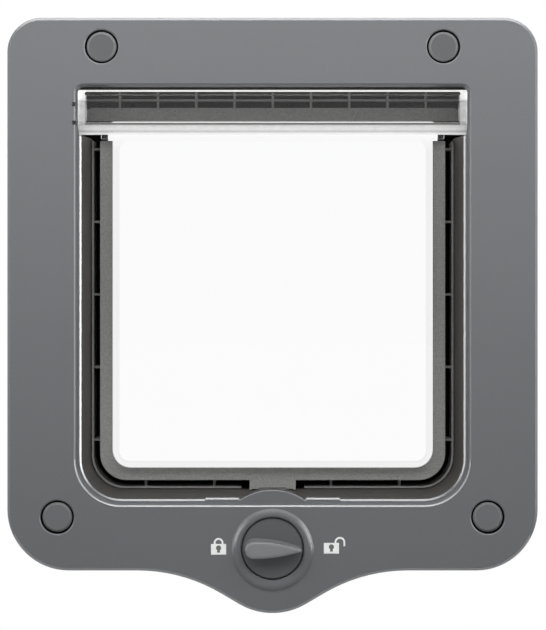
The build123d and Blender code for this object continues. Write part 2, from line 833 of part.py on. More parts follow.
# Lock knob: disc with a teardrop handle that points to the unlocked side, and a square drive
handle_front_y = face_y - knob_rise - handle_height
with BuildPart() as lock_knob:
    with BuildSketch(upright(knob_seat_y)):
        with Locations((0, knob_z)):
            Circle(knob_radius)
    extrude(amount=knob_thickness)
    chamfer(lock_knob.faces().sort_by(Axis.Y)[0].edges(), knob_edge_bevel)
    with BuildSketch(upright(face_y - knob_rise)):
        with Locations((0, knob_z)):
            add(teardrop(0))
    with BuildSketch(upright(handle_front_y + handle_bevel)):
        with Locations((0, knob_z)):
            add(teardrop(handle_draft))
    loft(ruled=True)
    with BuildSketch(upright(handle_front_y + handle_bevel)):
        with Locations((0, knob_z)):
            add(teardrop(handle_draft))
    with BuildSketch(upright(handle_front_y)):
        with Locations((0, knob_z)):
            add(teardrop(handle_draft + handle_bevel))
    loft(ruled=True)
    with BuildSketch(upright(cam_y)):
        with Locations((0, knob_z)):
            Circle(shaft_radius)
    extrude(amount=cam_y - knob_seat_y)
    with BuildSketch(upright(cam_back_y)):
        with Locations((0, knob_z)):
            Rectangle(cam_drive, cam_drive)
    extrude(amount=cam_thickness)
    with BuildSketch(upright(cam_back_y)):
        with Locations((0, knob_z)):
            Circle(small_screw_radius + screw_thread_gap)
    extrude(amount=small_screw_length, mode=Mode.SUBTRACT)

lock_knob.part.label = "lock_knob"
export_step(lock_knob.part, "parts/lock_knob.step")

# Lock cam: disc with a spiral slot that lifts the bolt evenly over half a turn
cam_radius = drum_radius - drum_wall - cam_clearance
with BuildPart() as lock_cam:
    with BuildSketch(upright(cam_back_y)):
        with Locations((0, knob_z)):
            Circle(cam_radius)
            Rectangle(
                cam_drive + 2 * cam_drive_clearance,
                cam_drive + 2 * cam_drive_clearance,
                mode=Mode.SUBTRACT,
            )
    extrude(amount=cam_thickness)
    cam_step = (lock_turn + 2 * cam_overrun) / cam_steps
    turns = [step * cam_step - cam_overrun for step in range(cam_steps + 1)]
    track = [
        Vector(cam_start_radius + bolt_lift * turn / lock_turn, 0).rotate(Axis.Z, 90 - turn)
        + Vector(0, knob_z)
        for turn in turns
    ]
    with BuildSketch(upright(cam_back_y)):
        with BuildLine():
            Spline(*track)
        trace(line_width=2 * (follower_radius + follower_clearance))
        with Locations(track[0], track[-1]):
            Circle(follower_radius + follower_clearance)
    extrude(amount=cam_thickness, mode=Mode.SUBTRACT)

lock_cam.part.label = "lock_cam"
export_step(lock_cam.part, "parts/lock_cam.step")

# Screw that holds the cam on the knob's square drive
with BuildPart() as cam_screw:
    with BuildSketch(upright(cam_back_y + small_screw_head_height)):
        with Locations((0, knob_z)):
            Circle(cam_screw_head_radius)
    extrude(amount=small_screw_head_height)
    with BuildSketch(upright(cam_back_y)):
        with Locations((0, knob_z)):
            Circle(small_screw_radius)
    extrude(amount=small_screw_length - cam_clearance)

cam_screw.part.label = "cam_screw"
export_step(cam_screw.part, "parts/cam_screw.step")

# Lock bolt: plate with a follower pin in the cam and a fork that straddles the flap's edge
with BuildPart() as lock_bolt:
    with BuildSketch(Plane.YZ.offset(-bolt_half_width)):
        with BuildLine():
            Polyline(
                (bolt_y, bolt_bottom),
                (bolt_y, fork_top),
                (fork_slot_y, fork_top),
                (fork_slot_y, fork_floor),
                (fork_slot_back_y, fork_floor),
                (fork_slot_back_y, fork_top),
                (fork_back_y, fork_top),
                (fork_back_y, fork_underside),
                (bolt_plate_back_y, fork_underside),
                (bolt_plate_back_y, bolt_bottom),
                close=True,
            )
        make_face()
    extrude(amount=2 * bolt_half_width)
    with BuildSketch(upright(bolt_y)):
        with Locations((0, follower_z)):
            Circle(follower_radius)
    extrude(amount=cam_clearance + cam_thickness - follower_clearance)

lock_bolt.part.label = "lock_bolt"
export_step(lock_bolt.part, "parts/lock_bolt.step")

# Lock cover: plate over the drum's back, with guide ribs beside the bolt
cover_top = floor_underside - cover_edge_gap
with BuildPart() as lock_cover:
    with BuildSketch(upright(cover_back_y)):
        with Locations((0, knob_z)):
            Circle(drum_radius - cover_inset)
        with Locations((0, knob_z - cover_ear_drop)):
            Rectangle(2 * cover_ear_offset, 2 * cover_ear_radius)
        with Locations(*cover_ears):
            Circle(cover_ear_radius)
        with Locations((0, cover_top + drum_radius)):
            Rectangle(2 * drum_radius, 2 * drum_radius, mode=Mode.SUBTRACT)
        with Locations((0, cover_top)):
            Rectangle(
                2 * (bolt_half_width + guide_clearance),
                2 * (cover_top - notch_bottom),
                mode=Mode.SUBTRACT,
            )
    extrude(amount=cover_thickness)
    with BuildSketch(upright(cover_y)):
        for side in (-1, 1):
            rib_x = side * (bolt_half_width + guide_clearance + guide_wall / 2)
            with Locations((rib_x, cover_top - guide_length / 2)):
                Rectangle(guide_wall, guide_length)
    extrude(amount=cover_y - bolt_y)
    with Locations(upright(cover_y)):
        with Locations(*cover_ears):
            Hole(small_screw_radius + screw_clearance, cover_thickness)

lock_cover.part.label = "lock_cover"
export_step(lock_cover.part, "parts/lock_cover.step")

# Two small screws that hold the lock cover
with BuildPart() as cover_screws:
    with BuildSketch(upright(cover_back_y + small_screw_head_height)):
        with Locations(*cover_ears):
            Circle(small_screw_head_radius)
    extrude(amount=small_screw_head_height)
    with BuildSketch(upright(cover_back_y)):
        with Locations(*cover_ears):
            Circle(small_screw_radius)
    extrude(amount=small_screw_length)

cover_screws.part.label = "cover_screws"
export_step(cover_screws.part, "parts/cover_screws.step")

# Long screws that clamp the two frames on the door
screw_end_y = outer_rim_y + screw_grip
with BuildPart() as frame_screws:
    with BuildSketch(upright(screw_end_y)):
        with Locations(*screw_spots):
            Circle(screw_radius)
    extrude(amount=screw_end_y - screw_seat_y)
    with BuildSketch(upright(screw_seat_y)):
        with Locations(*screw_spots):
            Circle(screw_head_radius)
    extrude(amount=screw_head_height)

frame_screws.part.label = "frame_screws"
export_step(frame_screws.part, "parts/frame_screws.step")

# Round caps that close the screw towers, with a crossed stem that grips the head's bore
cap_front_y = face_y + plug_recess
cap_back_y = cap_front_y + plug_cap
stem_back_y = screw_seat_y - screw_head_height - screw_clearance
stem_outer = screw_head_radius + screw_head_gap - screw_thread_gap
for spot, where in zip(screw_spots, screw_names):
    with BuildPart() as screw_plug:
        with BuildSketch(upright(cap_back_y)):
            with Locations(spot):
                Circle(plug_radius)
        extrude(amount=plug_cap)
        chamfer(screw_plug.faces().sort_by(Axis.Y)[0].edges(), plug_edge)
        with BuildSketch(upright(stem_back_y)):
            with Locations(spot):
                Rectangle(2 * stem_outer, plug_stem)
                Rectangle(plug_stem, 2 * stem_outer)
                Circle(stem_outer, mode=Mode.INTERSECT)
        extrude(amount=stem_back_y - cap_back_y)
    screw_plug.part.label = "screw_plug_" + where
    export_step(screw_plug.part, "parts/screw_plug_" + where + ".step")
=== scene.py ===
"""Finishes, threaded screws, printed lock signs and studio for a grey cat flap with a clear panel."""

import math

import bmesh
import bpy
from bpy.props import FloatProperty, FloatVectorProperty, PointerProperty
from bpy.types import Operator, Panel, PropertyGroup
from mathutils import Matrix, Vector


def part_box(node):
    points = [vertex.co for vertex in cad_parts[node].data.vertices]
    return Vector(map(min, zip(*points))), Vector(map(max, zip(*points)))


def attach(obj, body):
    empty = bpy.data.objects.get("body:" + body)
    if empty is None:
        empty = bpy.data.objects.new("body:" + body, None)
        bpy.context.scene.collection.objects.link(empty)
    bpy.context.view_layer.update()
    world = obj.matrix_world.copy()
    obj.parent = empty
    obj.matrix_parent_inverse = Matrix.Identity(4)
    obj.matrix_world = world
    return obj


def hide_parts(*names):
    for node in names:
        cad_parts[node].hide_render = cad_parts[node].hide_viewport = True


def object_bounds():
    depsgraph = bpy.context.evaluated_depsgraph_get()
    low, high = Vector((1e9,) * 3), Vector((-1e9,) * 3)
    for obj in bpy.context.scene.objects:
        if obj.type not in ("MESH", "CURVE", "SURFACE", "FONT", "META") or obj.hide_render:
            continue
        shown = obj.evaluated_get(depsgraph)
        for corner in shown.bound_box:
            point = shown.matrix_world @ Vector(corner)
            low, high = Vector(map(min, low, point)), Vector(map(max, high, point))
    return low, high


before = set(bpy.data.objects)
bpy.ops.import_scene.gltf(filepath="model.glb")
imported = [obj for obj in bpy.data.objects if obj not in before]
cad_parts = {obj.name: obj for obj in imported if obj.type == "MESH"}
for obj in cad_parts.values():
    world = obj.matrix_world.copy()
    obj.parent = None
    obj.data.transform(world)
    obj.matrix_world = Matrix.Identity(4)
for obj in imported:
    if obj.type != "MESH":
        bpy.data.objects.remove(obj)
cad_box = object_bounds()

bl_info = {
    "name": "Cat Flap Finishes",
    "version": (1, 0, 0),
    "blender": (4, 5, 0),
    "location": "3D View > Sidebar > Cat Flap",
    "description": "Dresses a cat flap with moulded plastics, screws, lock signs and a studio",
    "category": "Object",
}

# Places on the frames and the knob, in metres
CAP_SUNK = 0.0002
FACE_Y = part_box("screw_plug_top_left")[0].y - CAP_SUNK
SIDE_BORDER = 0.0283
TOP_BORDER = 0.0278
SHELF_HEIGHT = 0.0600
LIP_DEPTH = 0.0030
LIP_BEVEL = 0.0008
WELL_BEVEL = 0.0006
DRUM_HALF = 0.0165
EDGE_DEPTH = 0.0013
EDGE_DROP = 0.0120
RING_RADIUS = 0.0180
RING_SOFTNESS = 0.0018
CREST_RISE = 0.0130
CAP_GAP = 0.0009
CAP_MOUTH = 0.0006
CAP_DEPTH = 0.0026
HANDLE_STEP = 0.0007
NEARLY = 1e-5

# Heights on the sill, as shares of the opening's half height; the painted highlight on the sill's bevel is
# full at the first and gone at the second
SILL_HIGHLIGHT_FULL = 0.97
SILL_HIGHLIGHT_END = 0.80
SILL_TOP = 0.50

# Slopes: how much of a face's normal points along one axis
WALL = 0.3
FLAT = 0.95
EDGE_SLOPE = (0.6, 0.8)
EDGE_DOWN = 0.2
CREST_SLOPE = (0.75, 0.97)
CELL_SLOPE = 0.9
FOLD_SLOPE = 0.2
CHEEK_SLOPE = 0.7
CORNER_SLOPE = (0.55, 0.99)

# Height above the knob's middle for each metre aside, where the ring's dull top begins
RING_TOP_SLOPE = 1.1

# Places on the surround and the flap, in metres
WEB_THICKNESS = 0.0020
WEB_NEARLY = 1e-4
CHEEK_INSET = 0.0318
HOOD_WALL = 0.0021
HOOD_FRONT = 0.0062
FOLD_TOP = 0.0148
FOLD_BOTTOM = 0.0192
FOLD_CREST = 0.0136
RIM_FADE = 0.0260
RIM_HALF = 0.0015
RIM_STEP = 0.0001

# Painted light and shade in the clear hood, from low to high: share of the height, body level and painted glow
# level
FOLD_PAINTED_LIGHT_AND_SHADE = (
    (0.0, 0.98, 0.55), (0.10, 0.98, 0.50), (0.24, 0.66, 0.15), (0.42, 0.95, 0.22), (0.68, 0.92, 0.20),
    (0.79, 0.08, 0.0), (0.86, 0.08, 0.0), (0.96, 0.98, 0.35),
)
CHEEK_PAINTED_LIGHT_AND_SHADE = (
    (0.0, 0.95, 0.40), (0.05, 0.55, 0.12), (0.40, 0.82, 0.24), (0.60, 0.92, 0.26), (0.76, 0.80, 0.20),
    (0.82, 0.98, 0.60), (1.0, 0.98, 0.70),
)

# Finishes: noise scales per metre, depths in metres, then strengths and the clear plastic's refraction
DRIFT_SCALE = 26.0
STREAK_SCALE = 140.0
RUB_SCALE = 210.0
CLOUD_SCALE = 350.0
RIPPLE_SCALE = 60.0
STEEL_SCALE = 2600.0
GRAIN_DEPTH = 0.0002
RIPPLE_DEPTH = 0.0005
RIPPLE_STRENGTH = 0.02
RUB_GAIN = 1.9
RUB_LIFT = 0.02
CLEAR_IOR = 1.49

# Screws: sizes in metres, then facets, then shares of the head, the thread and the shaft
LONG_RADIUS = 0.0020
LONG_HEAD = 0.0026
SMALL_RADIUS = 0.0012
WELD = 1e-7
HEAD_STEPS = 32
SHAFT_STEPS = 20
HEAD_DOME = ((1.0, 0.0), (1.0, 0.42), (0.95, 0.68), (0.84, 0.88), (0.68, 1.0))
RECESS_WIDTH = 0.34
RECESS_DEPTH = 0.6
RECESS_TAPER = (0.6, 0.7)
THREAD_SHAPE = ((0.0, 0.0), (1.0, 0.36), (1.0, 0.50), (0.0, 0.86), (0.0, 1.0))
POINT_START = 0.93
POINT_WIDTHS = (0.99, 0.55)

# Lock signs, in metres and degrees
CLOSED_SHACKLE = {"shift": 0.0, "radius": 0.00207, "rise": 0.00047, "drop": 0.0}
OPEN_SHACKLE = {"shift": 0.0036, "radius": 0.00229, "rise": 0.00025, "drop": 0.00144}
SIGN_CORNER = 0.0001
KEYHOLE_RISE = 0.00055
KEYHOLE_RADIUS = 0.0011
KEYHOLE_TURN = (-62, 242)
KEYHOLE_FOOT_HALF = 0.00068
KEYHOLE_FOOT_DROP = 0.0014

# Studio: the picture in pixels, the sensor in millimetres, other lengths in metres, and shares
PHOTO_SIZE = (546, 630)
SENSOR_WIDTH = 36.0
NEAR_CLIP = 0.05
ROOM_TURN = (0.1, 0.7)
FLOOR_SIZE = 12.0
FLOOR_ROUGHNESS = 0.8
FLOOR_FADE = (0.3, 0.8)
FLOOR_NEAR = 0.5
FLOOR_BACK = -0.05
FRONT_LAMP = {"place": (0.0, -0.385, 0.36), "aim": (0.0, 0.0, 0.36), "size": (1.2, 0.5)}
FILL_LAMP = {"place": (0.0, -0.75, -0.05), "aim": (0.0, 0.0, -0.05), "size": (1.0, 0.6)}
TOP_LAMP = {"place": (0.0, -0.02, 0.62), "aim": (0.0, -0.015, 0.0), "size": (1.2, 0.18)}
LEFT_LAMP = {"place": (-0.62, -0.08, 0.2), "aim": (0.0, -0.015, 0.2), "size": (0.06, 0.8)}
RIGHT_LAMP = {"place": (0.62, -0.08, 0.2), "aim": (0.0, -0.015, 0.2), "size": (0.06, 0.8)}

# What every colour and every share has in common
COLOUR = {"subtype": "COLOR", "size": 3, "min": 0.0, "max": 1.0}
SHARE = {"subtype": "FACTOR", "min": 0.0, "max": 1.0}


class CATFLAP_PG_finish(PropertyGroup):
    """Colours, painted light and shade, and surface values of the plastics and metals"""

    frame_colour: FloatVectorProperty(
        name="Frame", description="Grey plastic of both frames", default=(0.152, 0.158, 0.167), **COLOUR,
    )
    frame_roughness: FloatProperty(
        name="Frame roughness", description="Satin of the frames", default=0.36, **SHARE,
    )
    # Painted highlight: the sill's bevel is painted lighter than the frame plastic
    sill_highlight_colour: FloatVectorProperty(
        name="Sill", description="Painted highlight on the sill's bevel below the opening",
        default=(0.400, 0.406, 0.414), **COLOUR,
    )
    # Painted highlight: a lighter copy of the frame plastic on the lower outer edge's bevel
    lower_edge_highlight_colour: FloatVectorProperty(
        name="Lower edge", description="Frame plastic painted lighter along its lower outer edge, as a painted highlight",
        default=(0.300, 0.308, 0.318), **COLOUR,
    )
    # Painted highlight: a lighter band on the ring's crest beside the knob
    crest_highlight_colour: FloatVectorProperty(
        name="Ring crest", description="Painted highlight on the ring's crest beside the knob",
        default=(0.360, 0.369, 0.383), **COLOUR,
    )
    cap_colour: FloatVectorProperty(
        name="Screw caps", description="Grey plastic of the screw caps, darker towards the top",
        default=(0.112, 0.114, 0.117), **COLOUR,
    )
    # Painted highlight: a lighter bevel round each screw cap
    cap_bevel_highlight_colour: FloatVectorProperty(
        name="Cap bevels", description="Painted highlight on the bevel round each screw cap",
        default=(0.215, 0.218, 0.222), **COLOUR,
    )
    # Painted shade: the passage is the frame's own plastic, painted darker
    tunnel_shade_colour: FloatVectorProperty(
        name="Tunnel", description="Inside of the passage behind the lip, painted darker as painted shade",
        default=(0.072, 0.069, 0.065), **COLOUR,
    )
    surround_colour: FloatVectorProperty(
        name="Surround", description="Matt grey plastic of the ribbed surround",
        default=(0.178, 0.177, 0.173), **COLOUR,
    )
    surround_roughness: FloatProperty(
        name="Surround roughness", description="Matt of the ribbed surround", default=0.62, **SHARE,
    )
    # Painted light: the surround is painted lighter towards its lower bar
    foot_painted_light_colour: FloatVectorProperty(
        name="Surround's foot", description="Surround plastic painted lighter towards its lower bar, as painted light",
        default=(0.270, 0.269, 0.264), **COLOUR,
    )
    # Painted light: the lintel, in shade behind the hood, is painted lighter than the surround
    lintel_painted_light_colour: FloatVectorProperty(
        name="Lintel", description="Surround plastic behind the hood, painted lighter where it lies in shade",
        default=(0.250, 0.246, 0.242), **COLOUR,
    )
    # Painted shade: near-black on the rib cells' floors and in the gaps round the caps
    cell_shade_colour: FloatVectorProperty(
        name="Rib cells", description="Painted shade on the floors between the surround's ribs and in the gaps round the caps",
        default=(0.006, 0.005, 0.005), **COLOUR,
    )
    knob_colour: FloatVectorProperty(
        name="Knob", description="Darker grey plastic of the knob's disc",
        default=(0.118, 0.121, 0.127), **COLOUR,
    )
    # Painted light: the handle is a lighter copy of the knob's plastic
    handle_painted_light_colour: FloatVectorProperty(
        name="Handle", description="Knob's handle painted lighter than its disc, as painted light",
        default=(0.232, 0.236, 0.242), **COLOUR,
    )
    lock_colour: FloatVectorProperty(
        name="Lock parts", description="Dark plastic of the cam, the bolt and the cover",
        default=(0.115, 0.115, 0.117), **COLOUR,
    )
    clear_colour: FloatVectorProperty(
        name="Clear plastic", description="Faint tint of the clear flap",
        default=(0.997, 0.999, 0.998), **COLOUR,
    )
    # Painted glow: the clear hood's milky ends, fold and top corner emit light, though they are no lamp
    milky_glow_colour: FloatVectorProperty(
        name="Clear edges", description="Milky plastic and painted glow of the clear hood's ends, fold and top corner",
        default=(0.95, 0.95, 0.94), **COLOUR,
    )
    clear_rim_colour: FloatVectorProperty(
        name="Clear rim", description="Thicker clear plastic of the flap's rim",
        default=(0.90, 0.90, 0.89), **COLOUR,
    )
    # Strength of the painted glow on the clear hood's edges
    painted_edge_glow: FloatProperty(
        name="Edge glow", description="Strength of the painted glow on the clear hood's ends, fold and top corner", default=0.75, **SHARE,
    )
    steel_colour: FloatVectorProperty(
        name="Screw steel", description="Zinc-plated steel of the screws",
        default=(0.62, 0.62, 0.60), **COLOUR,
    )
    sign_colour: FloatVectorProperty(
        name="Sign paint", description="White paint of the lock signs",
        default=(0.97, 0.97, 0.96), **COLOUR,
    )
    grain_scale: FloatProperty(
        name="Grain per metre", description="Fineness of the mould's grain", min=1.0, default=1700.0,
    )


class CATFLAP_PG_screws(PropertyGroup):
    """Sizes of the screws' threads and cross recesses"""

    long_pitch: FloatProperty(
        name="Long pitch", description="Thread pitch of the four long screws",
        subtype="DISTANCE", default=0.0009,
    )
    small_pitch: FloatProperty(
        name="Small pitch", description="Thread pitch of the small screws",
        subtype="DISTANCE", default=0.0008,
    )
    thread_depth: FloatProperty(
        name="Thread depth", description="How deep the threads are cut, as a share of the radius",
        subtype="FACTOR", min=0.0, max=0.5, default=0.17,
    )
    recess_share: FloatProperty(
        name="Cross recess", description="Length of the cross as a share of the head's width",
        subtype="FACTOR", min=0.1, max=0.9, default=0.52,
    )


class CATFLAP_PG_signs(PropertyGroup):
    """Sizes and places of the two padlock signs beside the knob"""

    body_width: FloatProperty(
        name="Body width", description="Width of a padlock's body", subtype="DISTANCE", default=0.00645,
    )
    body_height: FloatProperty(
        name="Body height", description="Height of a padlock's body", subtype="DISTANCE", default=0.00455,
    )
    stroke: FloatProperty(
        name="Shackle stroke", description="Width of the shackle's line", subtype="DISTANCE", default=0.00080,
    )
    closed_place: FloatVectorProperty(
        name="Closed sign", description="Middle of the closed padlock's body, across and up",
        subtype="TRANSLATION", size=2, default=(-0.02285, -0.10775),
    )
    open_place: FloatVectorProperty(
        name="Open sign", description="Middle of the open padlock's body, across and up",
        subtype="TRANSLATION", size=2, default=(0.02496, -0.10731),
    )
    thickness: FloatProperty(
        name="Paint thickness", description="How far the paint stands on the frame",
        subtype="DISTANCE", default=0.00004,
    )


class CATFLAP_PG_stage(PropertyGroup):
    """Camera, lamps and floor"""

    camera_distance: FloatProperty(
        name="Camera distance", description="From the frame's face to the camera",
        subtype="DISTANCE", default=0.85,
    )
    millimetres_per_pixel: FloatProperty(
        name="Picture scale", description="Millimetres on the frame's face for one pixel", default=0.42373,
    )
    middle_pixel: FloatVectorProperty(
        name="Middle pixel", description="Pixel that shows the middle of the opening",
        size=2, default=(272.5, 295.0),
    )
    eye_pixel: FloatVectorProperty(
        name="Eye pixel", description="Pixel straight in front of the lens", size=2, default=(280.0, 275.0),
    )
    floor_drop: FloatProperty(
        name="Floor drop", description="From the chin's tip down to the floor",
        subtype="DISTANCE", default=0.30,
    )
    floor_colour: FloatVectorProperty(
        name="Floor", description="Pale colour of the floor", default=(0.9, 0.9, 0.9), **COLOUR,
    )
    room_front: FloatProperty(
        name="Room before", description="How bright the room is on the camera's side", default=0.05, **SHARE,
    )
    room_behind: FloatProperty(
        name="Room behind", description="How bright the room is behind the frame", default=0.9, **SHARE,
    )
    front_power: FloatProperty(
        name="Front lamp", description="Wide soft lamp before the upper frame", subtype="POWER", default=6.0,
    )
    fill_power: FloatProperty(
        name="Fill lamp", description="Weak soft lamp round the camera", subtype="POWER", default=1.0,
    )
    top_power: FloatProperty(
        name="Top lamp", description="Long soft lamp over the frame", subtype="POWER", default=10.0,
    )
    left_power: FloatProperty(
        name="Left lamp", description="Tall soft lamp on the left", subtype="POWER", default=2.2,
    )
    right_power: FloatProperty(
        name="Right lamp", description="Tall soft lamp on the right", subtype="POWER", default=4.5,
    )


def new_group(name, inputs, outputs):
    """Empty shader node group with these float or colour sockets."""
    group = bpy.data.node_groups.new(name, "ShaderNodeTree")
    for label, kind, value in inputs:
        socket = group.interface.new_socket(label, in_out="INPUT", socket_type=kind)
        socket.default_value = value
    for label, kind in outputs:
        group.interface.new_socket(label, in_out="OUTPUT", socket_type=kind)
    return group, group.nodes.new("NodeGroupInput"), group.nodes.new("NodeGroupOutput")


def feed(tree, socket, value):
    """Sets a socket to a number, or links another socket to it."""
    if isinstance(value, (int, float)):
        socket.default_value = value
    else:
        tree.links.new(value, socket)


def math_node(tree, operation, *values):
    """Math node whose inputs are numbers or sockets; returns its output."""
    node = tree.nodes.new("ShaderNodeMath")
    node.operation = operation
    for socket, value in zip(node.inputs, values):
        feed(tree, socket, value)
    return node.outputs[0]


def noise(tree, coordinates, scale, detail, roughness=0.5):
    """Noise over object coordinates; scale is a number or a socket."""
    node = tree.nodes.new("ShaderNodeTexNoise")
    node.inputs["Detail"].default_value = detail
    node.inputs["Roughness"].default_value = roughness
    tree.links.new(coordinates, node.inputs["Vector"])
    feed(tree, node.inputs["Scale"], scale)
    return node.outputs["Fac"]


def moulded_skin_group():
    """Colour drift, uneven gloss and fine grain of an injection-moulded face."""
    name = "Moulded skin"
    if name in bpy.data.node_groups:
        return bpy.data.node_groups[name]
    group, entry, leave = new_group(
        name,
        [
            ("Colour", "NodeSocketColor", (0.2, 0.2, 0.2, 1.0)),
            ("Tone drift", "NodeSocketFloat", 0.1),
            ("Speckle", "NodeSocketFloat", 0.05),
            ("Grain scale", "NodeSocketFloat", 1700.0),
            ("Roughness", "NodeSocketFloat", 0.4),
            ("Gloss drift", "NodeSocketFloat", 0.1),
        ],
        [("Colour", "NodeSocketColor"), ("Roughness", "NodeSocketFloat"), ("Height", "NodeSocketFloat")],
    )

    def swing(value, amount):
        """Noise about zero, as strong as the input called amount."""
        return math_node(group, "MULTIPLY", math_node(group, "SUBTRACT", value, 0.5), entry.outputs[amount])

    place = group.nodes.new("ShaderNodeTexCoord").outputs["Object"]
    wide = noise(group, place, DRIFT_SCALE, 3.0)
    streak = noise(group, place, STREAK_SCALE, 4.0, 0.6)
    grain = noise(group, place, entry.outputs["Grain scale"], 2.0)
    change = math_node(group, "ADD", swing(wide, "Tone drift"), swing(grain, "Speckle"))
    bright = math_node(group, "ADD", change, 1.0)
    level = group.nodes.new("ShaderNodeCombineColor")
    for channel in level.inputs:
        group.links.new(bright, channel)
    tone = group.nodes.new("ShaderNodeMix")
    tone.data_type = "RGBA"
    tone.blend_type = "MULTIPLY"
    tone.inputs["Factor"].default_value = 1.0
    group.links.new(entry.outputs["Colour"], tone.inputs["A"])
    group.links.new(level.outputs[0], tone.inputs["B"])
    group.links.new(tone.outputs["Result"], leave.inputs["Colour"])
    gloss = math_node(group, "ADD", swing(streak, "Gloss drift"), entry.outputs["Roughness"])
    group.links.new(gloss, leave.inputs["Roughness"])
    group.links.new(grain, leave.inputs["Height"])
    return group


def soft_edge_group():
    """Rounded normal along sharp edges, and a patchy mask where handling polishes them."""
    name = "Soft edge"
    if name in bpy.data.node_groups:
        return bpy.data.node_groups[name]
    group, entry, leave = new_group(
        name,
        [("Width", "NodeSocketFloat", 0.0004), ("Amount", "NodeSocketFloat", 1.0)],
        [("Mask", "NodeSocketFloat"), ("Normal", "NodeSocketVector")],
    )
    soft = group.nodes.new("ShaderNodeBevel")
    soft.samples = 8
    group.links.new(entry.outputs["Width"], soft.inputs["Radius"])
    plain = group.nodes.new("ShaderNodeNewGeometry").outputs["Normal"]
    turn = group.nodes.new("ShaderNodeVectorMath")
    turn.operation = "DOT_PRODUCT"
    group.links.new(soft.outputs["Normal"], turn.inputs[0])
    group.links.new(plain, turn.inputs[1])
    edge = math_node(group, "SUBTRACT", 1.0, turn.outputs["Value"])
    place = group.nodes.new("ShaderNodeTexCoord").outputs["Object"]
    patchy = math_node(group, "MULTIPLY", edge, noise(group, place, RUB_SCALE, 3.0))
    mask = math_node(group, "MULTIPLY", patchy, entry.outputs["Amount"])
    clamp = group.nodes.new("ShaderNodeClamp")
    group.links.new(mask, clamp.inputs["Value"])
    group.links.new(clamp.outputs[0], leave.inputs["Mask"])
    group.links.new(soft.outputs["Normal"], leave.inputs["Normal"])
    return group


def place_group(material, group, **values):
    """Puts a node group into a material and sets its inputs by name, with spaces as underscores."""
    node = material.node_tree.nodes.new("ShaderNodeGroup")
    node.node_tree = group
    for label, value in values.items():
        node.inputs[label.replace("_", " ")].default_value = value
    return node


def blank_material(name):
    """New node material with one Principled BSDF; returns the material and that shader."""
    material = bpy.data.materials.new(name)
    material.use_nodes = True
    return material, material.node_tree.nodes["Principled BSDF"]


def add_bump(tree, skin, shader, strength, depth):
    """Bump from a skin's height to a shader's normal; returns the bump node."""
    bump = tree.nodes.new("ShaderNodeBump")
    bump.inputs["Strength"].default_value = strength
    bump.inputs["Distance"].default_value = depth
    tree.links.new(skin.outputs["Height"], bump.inputs["Height"])
    tree.links.new(bump.outputs["Normal"], shader.inputs["Normal"])
    return bump


def height_bands(tree, low, high, bands):
    """Colour that changes over the height from low to high, through (share, colour) stops."""
    split = tree.nodes.new("ShaderNodeSeparateXYZ")
    tree.links.new(tree.nodes.new("ShaderNodeTexCoord").outputs["Object"], split.inputs["Vector"])
    share = math_node(tree, "DIVIDE", math_node(tree, "SUBTRACT", split.outputs["Z"], low), high - low)
    ramp = tree.nodes.new("ShaderNodeValToRGB")
    stops = ramp.color_ramp.elements
    while len(stops) < len(bands):
        stops.new(0.5)
    for stop, (position, colour) in zip(stops, bands):
        stop.position = position
        stop.color = (*colour, 1.0)
    tree.links.new(share, ramp.inputs["Fac"])
    return ramp.outputs["Color"]


def plastic(
    name, colour, roughness, tone_drift=0.06, speckle=0.10, gloss_drift=0.12, grain=0.03, edge=0.5,
    edge_width=0.00025, sheen=0.5, heights=None, bands=None,
):
    """Moulded opaque plastic with fine grain and edges polished a little lighter.

    Bands are (share, colour) stops over the two heights.
    """
    fineness = bpy.context.scene.catflap_finish.grain_scale
    material, shader = blank_material(name)
    tree = material.node_tree
    skin = place_group(
        material, moulded_skin_group(), Colour=(*colour, 1.0), Tone_drift=tone_drift, Speckle=speckle,
        Grain_scale=fineness, Roughness=roughness, Gloss_drift=gloss_drift,
    )
    if bands:
        tree.links.new(height_bands(tree, *heights, bands), skin.inputs["Colour"])
    rub = place_group(material, soft_edge_group(), Width=edge_width, Amount=edge)
    lighter = tree.nodes.new("ShaderNodeMix")
    lighter.data_type = "RGBA"
    lighter.inputs["B"].default_value = (*[min(1.0, RUB_GAIN * c + RUB_LIFT) for c in colour], 1.0)
    tree.links.new(rub.outputs["Mask"], lighter.inputs["Factor"])
    tree.links.new(skin.outputs["Colour"], lighter.inputs["A"])
    tree.links.new(lighter.outputs["Result"], shader.inputs["Base Color"])
    tree.links.new(skin.outputs["Roughness"], shader.inputs["Roughness"])
    shader.inputs["Specular IOR Level"].default_value = sheen
    bump = add_bump(tree, skin, shader, grain, GRAIN_DEPTH)
    tree.links.new(rub.outputs["Normal"], bump.inputs["Normal"])
    return material


